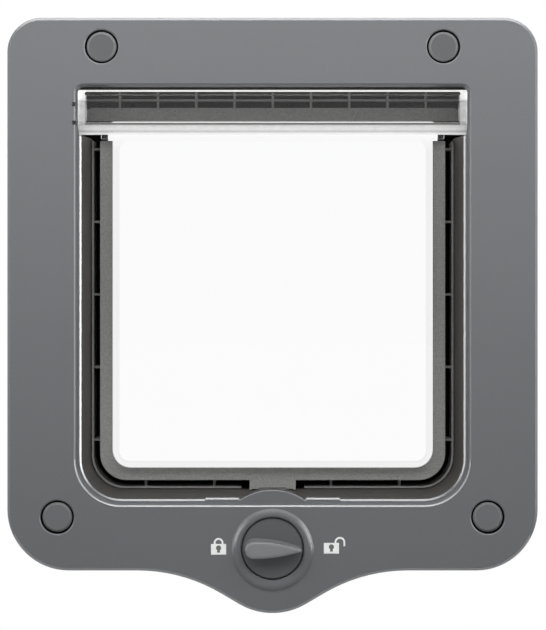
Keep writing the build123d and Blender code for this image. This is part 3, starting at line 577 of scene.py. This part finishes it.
def clear_plastic(
    name, colour, transmission=1.0, roughness=0.02, glow=0.0, cloud=0.0, heights=None, bands=None,
):
    """Clear moulded plastic with a slight unevenness in its polish; less transmission makes it milky.

    Bands are (share, body level, painted glow level) stops over the two heights; glow is the strength of that
    painted glow.
    """
    material, shader = blank_material(name)
    tree = material.node_tree
    skin = place_group(
        material, moulded_skin_group(), Colour=(*colour, 1.0), Tone_drift=0.01, Speckle=cloud,
        Grain_scale=CLOUD_SCALE if cloud else RIPPLE_SCALE, Roughness=roughness, Gloss_drift=roughness,
    )
    if bands:
        body = height_bands(tree, *heights, [(share, [level] * 3) for share, level, light in bands])
        tree.links.new(body, skin.inputs["Colour"])
    tree.links.new(skin.outputs["Colour"], shader.inputs["Base Color"])
    tree.links.new(skin.outputs["Roughness"], shader.inputs["Roughness"])
    shader.inputs["IOR"].default_value = CLEAR_IOR
    shader.inputs["Transmission Weight"].default_value = transmission
    # Painted glow: emission stands in for light that gathers in clear plastic
    shader.inputs["Emission Color"].default_value = (*colour, 1.0)
    shader.inputs["Emission Strength"].default_value = glow
    if bands and glow:
        gathered = height_bands(tree, *heights, [(share, [light] * 3) for share, level, light in bands])
        tree.links.new(gathered, shader.inputs["Emission Color"])
    add_bump(tree, skin, shader, RIPPLE_STRENGTH, RIPPLE_DEPTH)
    return material


def zinc_steel(name, colour):
    """Zinc-plated steel with cloudy brightness."""
    material, shader = blank_material(name)
    tree = material.node_tree
    skin = place_group(
        material, moulded_skin_group(), Colour=(*colour, 1.0), Tone_drift=0.25, Speckle=0.2,
        Grain_scale=STEEL_SCALE, Roughness=0.34, Gloss_drift=0.2,
    )
    tree.links.new(skin.outputs["Colour"], shader.inputs["Base Color"])
    tree.links.new(skin.outputs["Roughness"], shader.inputs["Roughness"])
    shader.inputs["Metallic"].default_value = 1.0
    return material


def dress(material, *nodes):
    """Gives CAD nodes this one material."""
    for node in nodes:
        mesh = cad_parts[node].data
        mesh.materials.clear()
        mesh.materials.append(material)


def dress_faces(node, material, chosen):
    """Gives the faces that chosen(middle, normal) picks another material."""
    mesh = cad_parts[node].data
    mesh.materials.append(material)
    index = len(mesh.materials) - 1
    for face in mesh.polygons:
        if chosen(face.center, face.normal):
            face.material_index = index


def screw_caps():
    """Names of the round caps over the long screws."""
    return sorted(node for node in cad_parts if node.startswith("screw_plug"))


class CATFLAP_OT_dress_frames(Operator):
    """Satin grey plastic for both frames and the screw caps"""

    bl_idname = "catflap.dress_frames"
    bl_label = "Dress Frames"

    def opening(self, finish, half, top):
        """Tunnel painted darker as painted shade, polished lip, and painted highlights on the sill's bevel and
        the lower outer edge.
        """
        lip = FACE_Y + LIP_DEPTH

        def inwards(middle, normal):
            towards = middle.x * normal.x + middle.z * normal.z < -NEARLY
            shelf = middle.z * normal.z > SHELF_HEIGHT
            return abs(middle.x) < half and abs(middle.z) < top and (towards or shelf)

        def tunnel(middle, normal):
            return middle.y > lip + LIP_BEVEL and inwards(middle, normal)

        def lip_bevel(middle, normal):
            off_drum = abs(middle.x) > DRUM_HALF or middle.z > 0.0
            return lip < middle.y < lip + LIP_BEVEL and inwards(middle, normal) and off_drum

        def lower_edge(middle, normal):
            bevel = 0.0 < middle.y - FACE_Y < EDGE_DEPTH and EDGE_SLOPE[0] < -normal.y < EDGE_SLOPE[1]
            return bevel and middle.z < -top - EDGE_DROP and normal.z < -EDGE_DOWN

        def sill_bevel(middle, normal):
            bevel = FACE_Y < middle.y < FACE_Y + WELL_BEVEL and inwards(middle, normal)
            return bevel and middle.z < -SILL_TOP * top

        # Painted shade: a darker copy of the frame plastic on the tunnel's faces
        dull = plastic(
            "Tunnel painted shade plastic", finish.tunnel_shade_colour, roughness=0.6, grain=0.08, edge=0.2, sheen=0.35,
        )
        polished = plastic(
            "Polished lip plastic", finish.frame_colour, roughness=0.14, gloss_drift=0.0, grain=0.0, edge=0.3,
        )
        # Painted highlight: a lighter copy of the frame plastic on the lower outer edge's bevel
        painted_highlight = plastic("Lower edge painted highlight plastic", finish.lower_edge_highlight_colour, finish.frame_roughness, edge=0.0)
        # Painted highlight on the sill's bevel, full at the bottom and fading out upwards
        satin_sill_highlight = plastic(
            "Satin sill plastic with painted highlight", finish.frame_colour, roughness=0.22, gloss_drift=0.04, grain=0.01,
            heights=(-SILL_HIGHLIGHT_FULL * top, -SILL_HIGHLIGHT_END * top),
            bands=((0.0, finish.sill_highlight_colour), (1.0, finish.frame_colour)),
        )
        dress_faces("inner_frame", dull, tunnel)
        dress_faces("inner_frame", polished, lip_bevel)
        dress_faces("inner_frame", painted_highlight, lower_edge)
        dress_faces("inner_frame", satin_sill_highlight, sill_bevel)

    def ring(self, finish):
        """Smoother ring round the knob, dull at its top, with painted highlights on its crest at each side of
        the knob.
        """
        low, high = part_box("lock_knob")
        knob = (low + high) / 2

        def on_ring(middle, normal):
            return middle.y < FACE_Y - NEARLY and (middle - knob).xz.length < RING_RADIUS

        def ring_top(middle, normal):
            return on_ring(middle, normal) and middle.z - knob.z > RING_TOP_SLOPE * abs(middle.x)

        def crest_beside_knob(middle, normal):
            outwards = (middle - knob).xz.dot(normal.xz) > 0.0
            crest = CREST_SLOPE[0] < -normal.y < CREST_SLOPE[1] and outwards
            beside = 0.0 < middle.z - knob.z < RING_TOP_SLOPE * abs(middle.x)
            return on_ring(middle, normal) and crest and beside

        smooth = plastic(
            "Round ring plastic", finish.frame_colour, roughness=0.26, gloss_drift=0.04, grain=0.01,
            edge_width=RING_SOFTNESS,
        )
        dull = plastic("Dull ring plastic", finish.frame_colour, roughness=0.5, edge_width=RING_SOFTNESS)
        # Painted highlight: a lighter band on the crest's outer slope at each side of the knob
        painted_highlight = plastic(
            "Crest painted highlight plastic", finish.frame_colour, roughness=0.24, gloss_drift=0.04, grain=0.01,
            edge_width=RING_SOFTNESS, heights=(knob.z, knob.z + CREST_RISE),
            bands=(
                (0.0, finish.frame_colour), (0.28, finish.crest_highlight_colour), (0.62, finish.crest_highlight_colour),
                (1.0, finish.frame_colour),
            ),
        )
        dress_faces("inner_frame", smooth, on_ring)
        dress_faces("inner_frame", dull, ring_top)
        dress_faces("inner_frame", painted_highlight, crest_beside_knob)

    def caps(self, finish, top):
        """Screw caps with a painted highlight on their bevel, and painted shade down both walls of the narrow
        gap round each.
        """
        grey = plastic(
            "Screw cap plastic", finish.cap_colour, finish.frame_roughness, heights=(-top, top),
            bands=((0.0, finish.frame_colour), (1.0, finish.cap_colour)),
        )
        # Painted highlight on each cap's bevel
        bevel = plastic("Cap bevel painted highlight plastic", finish.cap_bevel_highlight_colour, roughness=0.26, edge_width=0.0006)
        # Painted shade on both walls of the gap round each cap
        gap = plastic("Gap painted shade plastic", finish.cell_shade_colour, roughness=0.6, edge=0.0, sheen=0.1)
        dress(grey, *screw_caps())
        spots = []
        for cap in screw_caps():
            dress_faces(cap, bevel, lambda middle, normal: WALL < abs(normal.y) < FLAT)
            dress_faces(cap, gap, lambda middle, normal: abs(normal.y) < WALL)
            low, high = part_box(cap)
            spots.append(((low + high) / 2, (high.x - low.x) / 2 + CAP_GAP))

        # Painted shade also on the frame's walls and floor in each cap's hole
        def cap_hole(middle, normal):
            near = any((middle - spot).xz.length < reach for spot, reach in spots)
            return CAP_MOUTH < middle.y - FACE_Y < CAP_DEPTH and near

        dress_faces("inner_frame", gap, cap_hole)

    def execute(self, context):
        finish = context.scene.catflap_finish
        grey = plastic("Grey frame plastic", finish.frame_colour, finish.frame_roughness)
        dress(grey, "inner_frame", "outer_frame")
        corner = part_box("inner_frame")[1]
        top = corner.z - TOP_BORDER
        self.opening(finish, corner.x - SIDE_BORDER, top)
        self.ring(finish)
        self.caps(finish, top)
        return {"FINISHED"}


class CATFLAP_OT_dress_surround(Operator):
    """Matt plastic for the ribbed surround"""

    bl_idname = "catflap.dress_surround"
    bl_label = "Dress Surround"

    def execute(self, context):
        finish = context.scene.catflap_finish
        low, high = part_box("flap_surround")
        web = high.y - WEB_THICKNESS
        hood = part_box("flap")[1].z - FOLD_TOP

        def behind_hood(middle, normal):
            return middle.z > hood and middle.y < web

        def cell_floor(middle, normal):
            return normal.y < -CELL_SLOPE and abs(middle.y - web) < WEB_NEARLY

        # Painted light: the surround's colour goes lighter towards its lower bar
        matt = plastic(
            "Surround plastic", finish.surround_colour, finish.surround_roughness, speckle=1.0, grain=0.4,
            heights=(low.z, 0.0), bands=((0.0, finish.foot_painted_light_colour), (1.0, finish.surround_colour)),
        )
        # Painted light: the lintel, in shade behind the hood, is painted lighter
        lintel = plastic(
            "Lintel plastic painted lighter", finish.lintel_painted_light_colour, finish.surround_roughness, speckle=1.0, grain=0.4,
        )
        # Painted shade: near-black floors in the cells between the ribs
        dark = plastic("Cell painted shade plastic", finish.cell_shade_colour, roughness=0.7, edge=0.0, sheen=0.05)
        dress(matt, "flap_surround")
        dress_faces("flap_surround", lintel, behind_hood)
        dress_faces("flap_surround", dark, cell_floor)
        return {"FINISHED"}


class CATFLAP_OT_dress_flap(Operator):
    """Clear plastic for the swinging flap"""

    bl_idname = "catflap.dress_flap"
    bl_label = "Dress Flap"

    def execute(self, context):
        finish = context.scene.catflap_finish
        cheek_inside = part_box("inner_frame")[1].x - CHEEK_INSET
        low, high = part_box("flap")
        top, hinge = high.z, low.y + HOOD_FRONT
        fold_foot = top - FOLD_BOTTOM

        def thick_rim(middle, normal):
            below = middle.z < fold_foot and abs(middle.x) < cheek_inside
            return below and abs(normal.y) > FLAT and abs(middle.y - hinge) > RIM_HALF - RIM_STEP

        def fold_face(middle, normal):
            return fold_foot < middle.z < top - FOLD_TOP and FOLD_SLOPE < abs(normal.y) < FLAT

        def cheek_edge(middle, normal):
            inward = normal.x * math.copysign(1.0, middle.x) < -CHEEK_SLOPE
            return abs(middle.x) > cheek_inside and not inward

        def top_corner(middle, normal):
            return middle.z > top - HOOD_WALL and CORNER_SLOPE[0] < normal.z < CORNER_SLOPE[1]

        # The hood's end cheeks and its fold are milky, with bands of painted light and shade and a painted
        # glow, and its top corner glows most of all
        milky = {"transmission": 0.15, "roughness": 0.12, "glow": finish.painted_edge_glow}
        clear = clear_plastic("Clear flap plastic", finish.clear_colour)
        rim = clear_plastic(
            "Clear rim plastic", finish.clear_rim_colour, heights=(top - RIM_FADE, fold_foot),
            bands=((0.0, finish.clear_rim_colour[1], 0.0), (1.0, finish.clear_colour[0], 0.0)),
        )
        fold = clear_plastic(
            "Clear fold plastic", finish.milky_glow_colour, cloud=0.25,
            heights=(fold_foot, top - FOLD_CREST), bands=FOLD_PAINTED_LIGHT_AND_SHADE, **milky,
        )
        cheek = clear_plastic(
            "Clear cheek plastic", finish.milky_glow_colour, cloud=0.6,
            heights=(fold_foot, top), bands=CHEEK_PAINTED_LIGHT_AND_SHADE, **milky,
        )
        # Painted glow on the hood's top corner
        bright = clear_plastic(
            "Top corner painted glow plastic", finish.milky_glow_colour, transmission=0.1, roughness=0.12,
            glow=finish.painted_edge_glow,
        )
        dress(clear, "flap")
        dress_faces("flap", rim, thick_rim)
        dress_faces("flap", fold, fold_face)
        dress_faces("flap", cheek, cheek_edge)
        dress_faces("flap", bright, top_corner)
        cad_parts["flap"].visible_shadow = False
        return {"FINISHED"}


class CATFLAP_OT_dress_lock(Operator):
    """Plastics for the knob, the cam, the bolt and the cover"""

    bl_idname = "catflap.dress_lock"
    bl_label = "Dress Lock"

    def execute(self, context):
        finish = context.scene.catflap_finish
        disc = plastic("Knob disc plastic", finish.knob_colour, roughness=0.45)
        # Painted light: the raised handle is a lighter copy of the knob's plastic
        handle = plastic("Handle plastic painted lighter", finish.handle_painted_light_colour, roughness=0.34, edge=0.3, edge_width=0.0025)
        inside = plastic("Lock plastic", finish.lock_colour, roughness=0.5, grain=0.08)
        dress(disc, "lock_knob")
        dress_faces("lock_knob", handle, lambda middle, normal: middle.y < FACE_Y - HANDLE_STEP)
        dress(inside, "lock_cam", "lock_bolt", "lock_cover")
        return {"FINISHED"}


def around(middle, radius, angle, y):
    """Point at an angle round an axis along Y."""
    return middle[0] + radius * math.cos(angle), y, middle[1] + radius * math.sin(angle)


def lathe(grid, rings, middle, steps):
    """Turned skin about an axis along Y; rings are (radius, y), and the first and last may be points."""
    loops = []
    for radius, y in rings:
        count = steps if radius else 1
        turn = [2.0 * math.pi * i / steps for i in range(count)]
        loops.append([grid.verts.new(around(middle, radius, angle, y)) for angle in turn])
    for first, second in zip(loops, loops[1:]):
        for i in range(steps):
            j = (i + 1) % steps
            near = [first[i % len(first)], first[j % len(first)]]
            far = [second[j % len(second)], second[i % len(second)]]
            grid.faces.new(list(dict.fromkeys(near + far)))
    return loops


def thread(grid, middle, start, end, radius, depth, pitch, steps):
    """Helical thread of a screw along Y, from start to end."""
    way = 1.0 if end > start else -1.0
    count = int(abs(end - start) / pitch * steps)
    shape = [(radius - (1.0 - crest) * depth, share) for crest, share in THREAD_SHAPE]
    rows = []
    for i in range(count - steps + 1):
        angle = 2.0 * math.pi * i / steps
        y = start + way * pitch * i / steps
        rows.append([grid.verts.new(around(middle, r, angle, y + way * pitch * share)) for r, share in shape])
    for first, second in zip(rows, rows[1:]):
        for k in range(len(shape) - 1):
            grid.faces.new((first[k], first[k + 1], second[k + 1], second[k]))


def cross(middle, length, width):
    """Outline of a cross recess, as (across, up) points."""
    a, b = length / 2, width / 2
    arm = ((a, -b), (a, b), (b, b))
    points = []
    for cosine, sine in ((1, 0), (0, 1), (-1, 0), (0, -1)):
        points += [(middle[0] + cosine * x - sine * z, middle[1] + sine * x + cosine * z) for x, z in arm]
    return points


def screw(grid, middle, head_y, seat_y, tip_y, head_radius, radius, pitch, sizes):
    """Pan-head screw along Y with a cross recess and a cut thread."""
    height = seat_y - head_y
    depth = sizes.thread_depth * radius
    core = radius - depth
    point = seat_y + POINT_START * (tip_y - seat_y)
    dome = [(wide * head_radius, seat_y - high * height) for wide, high in HEAD_DOME]
    loops = lathe(grid, [(core, seat_y)] + dome, middle, HEAD_STEPS)
    length, width = 2.0 * head_radius * sizes.recess_share, RECESS_WIDTH * head_radius
    floor_y = head_y + RECESS_DEPTH * height
    floor_cross = cross(middle, RECESS_TAPER[0] * length, RECESS_TAPER[1] * width)
    mouth = [grid.verts.new((x, head_y, z)) for x, z in cross(middle, length, width)]
    floor = [grid.verts.new((x, floor_y, z)) for x, z in floor_cross]
    edges = []
    for ring in (loops[-1], mouth):
        for a, b in zip(ring, ring[1:] + ring[:1]):
            edges.append(grid.edges.get((a, b)) or grid.edges.new((a, b)))
    bmesh.ops.triangle_fill(grid, use_beauty=True, use_dissolve=False, edges=edges)
    for i in range(len(mouth)):
        j = (i + 1) % len(mouth)
        grid.faces.new((mouth[i], mouth[j], floor[j], floor[i]))
    grid.faces.new(floor)
    thread(grid, middle, seat_y, point, radius, depth, pitch, SHAFT_STEPS)
    shaft = [(core, seat_y), (POINT_WIDTHS[0] * core, point), (POINT_WIDTHS[1] * core, tip_y), (0.0, tip_y)]
    lathe(grid, shaft, middle, SHAFT_STEPS)


def screw_piece(name, node, spots, seat_y, head_side, head_radius, radius, pitch, steel):
    """One piece of like screws that stands for a CAD node; head_side is -1 where the heads face the room."""
    low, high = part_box(node)
    head_y, tip_y = (low.y, high.y) if head_side < 0 else (high.y, low.y)
    grid = bmesh.new()
    for spot in spots:
        screw(grid, spot, head_y, seat_y, tip_y, head_radius, radius, pitch, bpy.context.scene.catflap_screws)
    bmesh.ops.remove_doubles(grid, verts=grid.verts, dist=WELD)
    bmesh.ops.recalc_face_normals(grid, faces=grid.faces)
    mesh = bpy.data.meshes.new(name)
    grid.to_mesh(mesh)
    grid.free()
    mesh.materials.append(steel)
    piece = bpy.data.objects.new(name, mesh)
    bpy.context.scene.collection.objects.link(piece)
    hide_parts(node)
    return piece


class CATFLAP_OT_add_screws(Operator):
    """Zinc-plated screws with threads and cross recesses"""

    bl_idname = "catflap.add_screws"
    bl_label = "Add Screws"

    def execute(self, context):
        sizes = context.scene.catflap_screws
        steel = zinc_steel("Zinc screw steel", context.scene.catflap_finish.steel_colour)
        caps = [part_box(cap) for cap in screw_caps()]
        spots = [((low.x + high.x) / 2, (low.z + high.z) / 2) for low, high in caps]
        low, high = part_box("frame_screws")
        head = (high.x - low.x) / 2 - max(x for x, z in spots)
        piece = screw_piece(
            "frame_screws_threaded", "frame_screws", spots, low.y + LONG_HEAD, -1, head, LONG_RADIUS,
            sizes.long_pitch, steel,
        )
        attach(piece, "frame")
        low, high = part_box("cover_screws")
        head = (high.z - low.z) / 2
        spots = [(x, (low.z + high.z) / 2) for x in (low.x + head, high.x - head)]
        piece = screw_piece(
            "cover_screws_threaded", "cover_screws", spots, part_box("lock_cover")[1].y, 1, head, SMALL_RADIUS,
            sizes.small_pitch, steel,
        )
        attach(piece, "frame")
        low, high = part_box("cam_screw")
        head = (high.z - low.z) / 2
        spots = [(0.0, (low.z + high.z) / 2)]
        piece = screw_piece(
            "cam_screw_threaded", "cam_screw", spots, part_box("lock_cam")[1].y, 1, head, SMALL_RADIUS,
            sizes.small_pitch, steel,
        )
        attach(piece, "knob")
        return {"FINISHED"}


def arc(centre, radius, start, end, steps):
    """Points on an arc, angles in degrees."""
    angles = [math.radians(start + (end - start) * i / steps) for i in range(steps + 1)]
    return [(centre[0] + radius * math.cos(a), centre[1] + radius * math.sin(a)) for a in angles]


def rounded_rectangle(centre, width, height, corner):
    """Outline of a rectangle with round corners, counter-clockwise."""
    points = []
    for x, y, start in ((1, 1, 0), (-1, 1, 90), (-1, -1, 180), (1, -1, 270)):
        middle = (centre[0] + x * (width / 2 - corner), centre[1] + y * (height / 2 - corner))
        points += arc(middle, corner, start, start + 90, steps=5)
    return points


def painted_shape(name, outlines, thickness):
    """Thin paint on the frame's face from closed outlines; an outline inside another is a hole."""
    curve = bpy.data.curves.new(name, "CURVE")
    curve.dimensions = "2D"
    curve.fill_mode = "BOTH"
    curve.extrude = thickness / 2
    for outline in outlines:
        spline = curve.splines.new("POLY")
        spline.points.add(len(outline) - 1)
        for point, (x, z) in zip(spline.points, outline):
            point.co = (x, z, 0.0, 1.0)
        spline.use_cyclic_u = True
    shape = bpy.data.objects.new(name, curve)
    mesh = bpy.data.meshes.new_from_object(shape)
    bpy.data.objects.remove(shape)
    bpy.data.curves.remove(curve)
    for vertex in mesh.vertices:
        across, up, out = vertex.co
        vertex.co = (across, FACE_Y - thickness / 2 - out, up)
    piece = bpy.data.objects.new(name, mesh)
    bpy.context.scene.collection.objects.link(piece)
    return piece


class CATFLAP_OT_add_signs(Operator):
    """Closed and open padlock signs printed beside the knob"""

    bl_idname = "catflap.add_signs"
    bl_label = "Add Lock Signs"

    def keyhole(self, x, z):
        """Outline of a round hole with a foot that widens downwards."""
        points = arc((x, z + KEYHOLE_RISE), KEYHOLE_RADIUS, *KEYHOLE_TURN, steps=16)
        return points + [(x + side * KEYHOLE_FOOT_HALF, z - KEYHOLE_FOOT_DROP) for side in (-1, 1)]

    def shackle(self, x, shoulder, stroke, shift, radius, rise, drop):
        """Outline of an upside-down U over the body's shoulder, with a right leg that ends lower by drop."""
        x += shift
        foot = shoulder + rise
        inner = radius - stroke
        outer = inner + stroke
        left, right = foot - rise, foot - (rise + drop)
        points = [(x - outer, left)] + arc((x, foot), outer, 180, 0, steps=14)
        points += [(x + outer, right), (x + inner, right)] + arc((x, foot), inner, 0, 180, steps=14)
        return points + [(x - inner, left)]

    def execute(self, context):
        signs = context.scene.catflap_signs
        width, height = signs.body_width, signs.body_height
        colour = context.scene.catflap_finish.sign_colour
        paint = plastic("Sign paint", colour, roughness=0.45, grain=0.02, edge=0.0)
        for name, place, bow in (
            ("sign_closed_padlock", signs.closed_place, CLOSED_SHACKLE),
            ("sign_open_padlock", signs.open_place, OPEN_SHACKLE),
        ):
            x, z = place
            body = rounded_rectangle((x, z), width, height, SIGN_CORNER)
            shackle = self.shackle(x, z + height / 2, signs.stroke, **bow)
            piece = painted_shape(name, [body, self.keyhole(x, z), shackle], signs.thickness)
            piece.data.materials.append(paint)
            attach(piece, "frame")
        return {"FINISHED"}


class CATFLAP_OT_set_stage(Operator):
    """Pale floor, soft lamps, white room and the camera"""

    bl_idname = "catflap.set_stage"
    bl_label = "Set Stage"

    def seen_rays(self, tree):
        """Mask of the rays that see straight or through clear plastic, and mask of the mirror rays."""
        path = tree.nodes.new("ShaderNodeLightPath").outputs
        direct = math_node(tree, "MAXIMUM", path["Is Camera Ray"], path["Is Transmission Ray"])
        return direct, path["Is Glossy Ray"]

    def smooth_step(self, tree, value, span, low, high):
        """Value that goes smoothly from low to high while another crosses the span."""
        node = tree.nodes.new("ShaderNodeMapRange")
        node.interpolation_type = "SMOOTHSTEP"
        for label, number in zip(("From Min", "From Max", "To Min", "To Max"), (*span, low, high)):
            node.inputs[label].default_value = number
        tree.links.new(value, node.inputs["Value"])
        return node.outputs["Result"]

    def room(self, scene):
        """Dim room on the camera's side and a white one behind, all white for camera and clear rays."""
        stage = scene.catflap_stage
        world = bpy.data.worlds.new("White room")
        world.use_nodes = True
        scene.world = world
        tree = world.node_tree
        direct = self.seen_rays(tree)[0]
        split = tree.nodes.new("ShaderNodeSeparateXYZ")
        tree.links.new(tree.nodes.new("ShaderNodeTexCoord").outputs["Generated"], split.inputs["Vector"])
        tone = self.smooth_step(tree, split.outputs["Y"], ROOM_TURN, stage.room_front, stage.room_behind)
        back = tree.nodes["Background"]
        back.inputs["Color"].default_value = (1.0, 1.0, 1.0, 1.0)
        tree.links.new(math_node(tree, "MAXIMUM", tone, direct), back.inputs["Strength"])

    def floor_material(self, colour):
        """Pale floor that glows white for the rays that see it, less near the flap to keep its shadow."""
        material, shader = blank_material("Pale floor")
        tree = material.node_tree
        shader.inputs["Base Color"].default_value = (*colour, 1.0)
        shader.inputs["Roughness"].default_value = FLOOR_ROUGHNESS
        glow = tree.nodes.new("ShaderNodeEmission")
        glow.inputs["Strength"].default_value = 1.0
        place = tree.nodes.new("ShaderNodeTexCoord").outputs["Object"]
        away = tree.nodes.new("ShaderNodeVectorMath")
        away.operation = "LENGTH"
        tree.links.new(place, away.inputs[0])
        far = self.smooth_step(tree, away.outputs["Value"], FLOOR_FADE, FLOOR_NEAR, 1.0)
        split = tree.nodes.new("ShaderNodeSeparateXYZ")
        tree.links.new(place, split.inputs["Vector"])
        behind = math_node(tree, "GREATER_THAN", split.outputs["Y"], FLOOR_BACK)
        direct, mirror = self.seen_rays(tree)
        shown = math_node(tree, "MULTIPLY", direct, far)
        seen = math_node(tree, "MAXIMUM", shown, math_node(tree, "MULTIPLY", mirror, behind))
        mix = tree.nodes.new("ShaderNodeMixShader")
        tree.links.new(seen, mix.inputs["Fac"])
        tree.links.new(shader.outputs["BSDF"], mix.inputs[1])
        tree.links.new(glow.outputs["Emission"], mix.inputs[2])
        tree.links.new(mix.outputs["Shader"], tree.nodes["Material Output"].inputs["Surface"])
        return material

    def floor(self, scene):
        """Wide pale floor with the flap's soft shadow, which runs out into the white background."""
        stage = scene.catflap_stage
        mesh = bpy.data.meshes.new("floor")
        grid = bmesh.new()
        bmesh.ops.create_grid(grid, x_segments=1, y_segments=1, size=FLOOR_SIZE)
        grid.to_mesh(mesh)
        grid.free()
        mesh.materials.append(self.floor_material(stage.floor_colour))
        floor = bpy.data.objects.new("floor", mesh)
        floor.location.z = cad_box[0].z - stage.floor_drop
        scene.collection.objects.link(floor)

    def lamp(self, scene, name, power, gloss, place, aim, size):
        """Soft rectangular lamp at place that looks at aim; it gives either gloss or even light."""
        data = bpy.data.lights.new(name, "AREA")
        data.shape = "RECTANGLE"
        data.size, data.size_y = size
        data.energy = power
        lamp = bpy.data.objects.new(name, data)
        lamp.location = place
        lamp.rotation_euler = (Vector(aim) - Vector(place)).to_track_quat("-Z", "Y").to_euler()
        lamp.visible_camera = False
        lamp.visible_diffuse = not gloss
        lamp.visible_glossy = lamp.visible_transmission = gloss
        scene.collection.objects.link(lamp)

    def camera(self, scene):
        """Level camera whose picture lines up with the frame's face."""
        stage = scene.catflap_stage
        scale = stage.millimetres_per_pixel / 1000.0
        wide, tall = PHOTO_SIZE
        data = bpy.data.cameras.new("camera")
        data.sensor_width = SENSOR_WIDTH
        data.lens = SENSOR_WIDTH * stage.camera_distance / (tall * scale)
        data.shift_x = (wide / 2 - stage.eye_pixel[0]) / tall
        data.shift_y = -(tall / 2 - stage.eye_pixel[1]) / tall
        data.clip_start = NEAR_CLIP
        camera = bpy.data.objects.new("camera", data)
        camera.location = (
            (stage.eye_pixel[0] - stage.middle_pixel[0]) * scale,
            FACE_Y - stage.camera_distance,
            (stage.middle_pixel[1] - stage.eye_pixel[1]) * scale,
        )
        camera.rotation_euler = (math.pi / 2, 0.0, 0.0)
        scene.collection.objects.link(camera)
        scene.camera = camera

    def execute(self, context):
        scene = context.scene
        stage = scene.catflap_stage
        scene.view_settings.view_transform = "Standard"
        self.room(scene)
        self.floor(scene)
        self.lamp(scene, "front_lamp", stage.front_power, gloss=False, **FRONT_LAMP)
        self.lamp(scene, "fill_lamp", stage.fill_power, gloss=False, **FILL_LAMP)
        self.lamp(scene, "top_lamp", stage.top_power, gloss=True, **TOP_LAMP)
        self.lamp(scene, "left_lamp", stage.left_power, gloss=True, **LEFT_LAMP)
        self.lamp(scene, "right_lamp", stage.right_power, gloss=True, **RIGHT_LAMP)
        self.camera(scene)
        return {"FINISHED"}


GROUPS = {
    "catflap_finish": CATFLAP_PG_finish,
    "catflap_screws": CATFLAP_PG_screws,
    "catflap_signs": CATFLAP_PG_signs,
    "catflap_stage": CATFLAP_PG_stage,
}
OPERATORS = (
    CATFLAP_OT_dress_frames,
    CATFLAP_OT_dress_surround,
    CATFLAP_OT_dress_flap,
    CATFLAP_OT_dress_lock,
    CATFLAP_OT_add_screws,
    CATFLAP_OT_add_signs,
    CATFLAP_OT_set_stage,
)


class CATFLAP_PT_panel(Panel):
    """Sidebar panel with the sizes, the colours and the steps"""

    bl_label = "Cat Flap"
    bl_idname = "CATFLAP_PT_panel"
    bl_space_type = "VIEW_3D"
    bl_region_type = "UI"
    bl_category = "Cat Flap"

    def draw(self, context):
        for group in GROUPS:
            values = getattr(context.scene, group)
            box = self.layout.box()
            for name in values.__annotations__:
                box.prop(values, name)
        for operator in OPERATORS:
            self.layout.operator(operator.bl_idname)


CLASSES = (*GROUPS.values(), *OPERATORS, CATFLAP_PT_panel)


def register():
    """Registers the classes and hangs the property groups on the scene."""
    for cls in CLASSES:
        bpy.utils.register_class(cls)
    for name, group in GROUPS.items():
        setattr(bpy.types.Scene, name, PointerProperty(type=group))


def unregister():
    """Takes the property groups off the scene and unregisters the classes."""
    for name in GROUPS:
        delattr(bpy.types.Scene, name)
    for cls in reversed(CLASSES):
        bpy.utils.unregister_class(cls)


def main():
    """Dresses the flap step by step."""
    register()
    bpy.ops.catflap.dress_frames()
    bpy.ops.catflap.dress_surround()
    bpy.ops.catflap.dress_flap()
    bpy.ops.catflap.dress_lock()
    bpy.ops.catflap.add_screws()
    bpy.ops.catflap.add_signs()
    bpy.ops.catflap.set_stage()


if __name__ == "__main__":
    main()
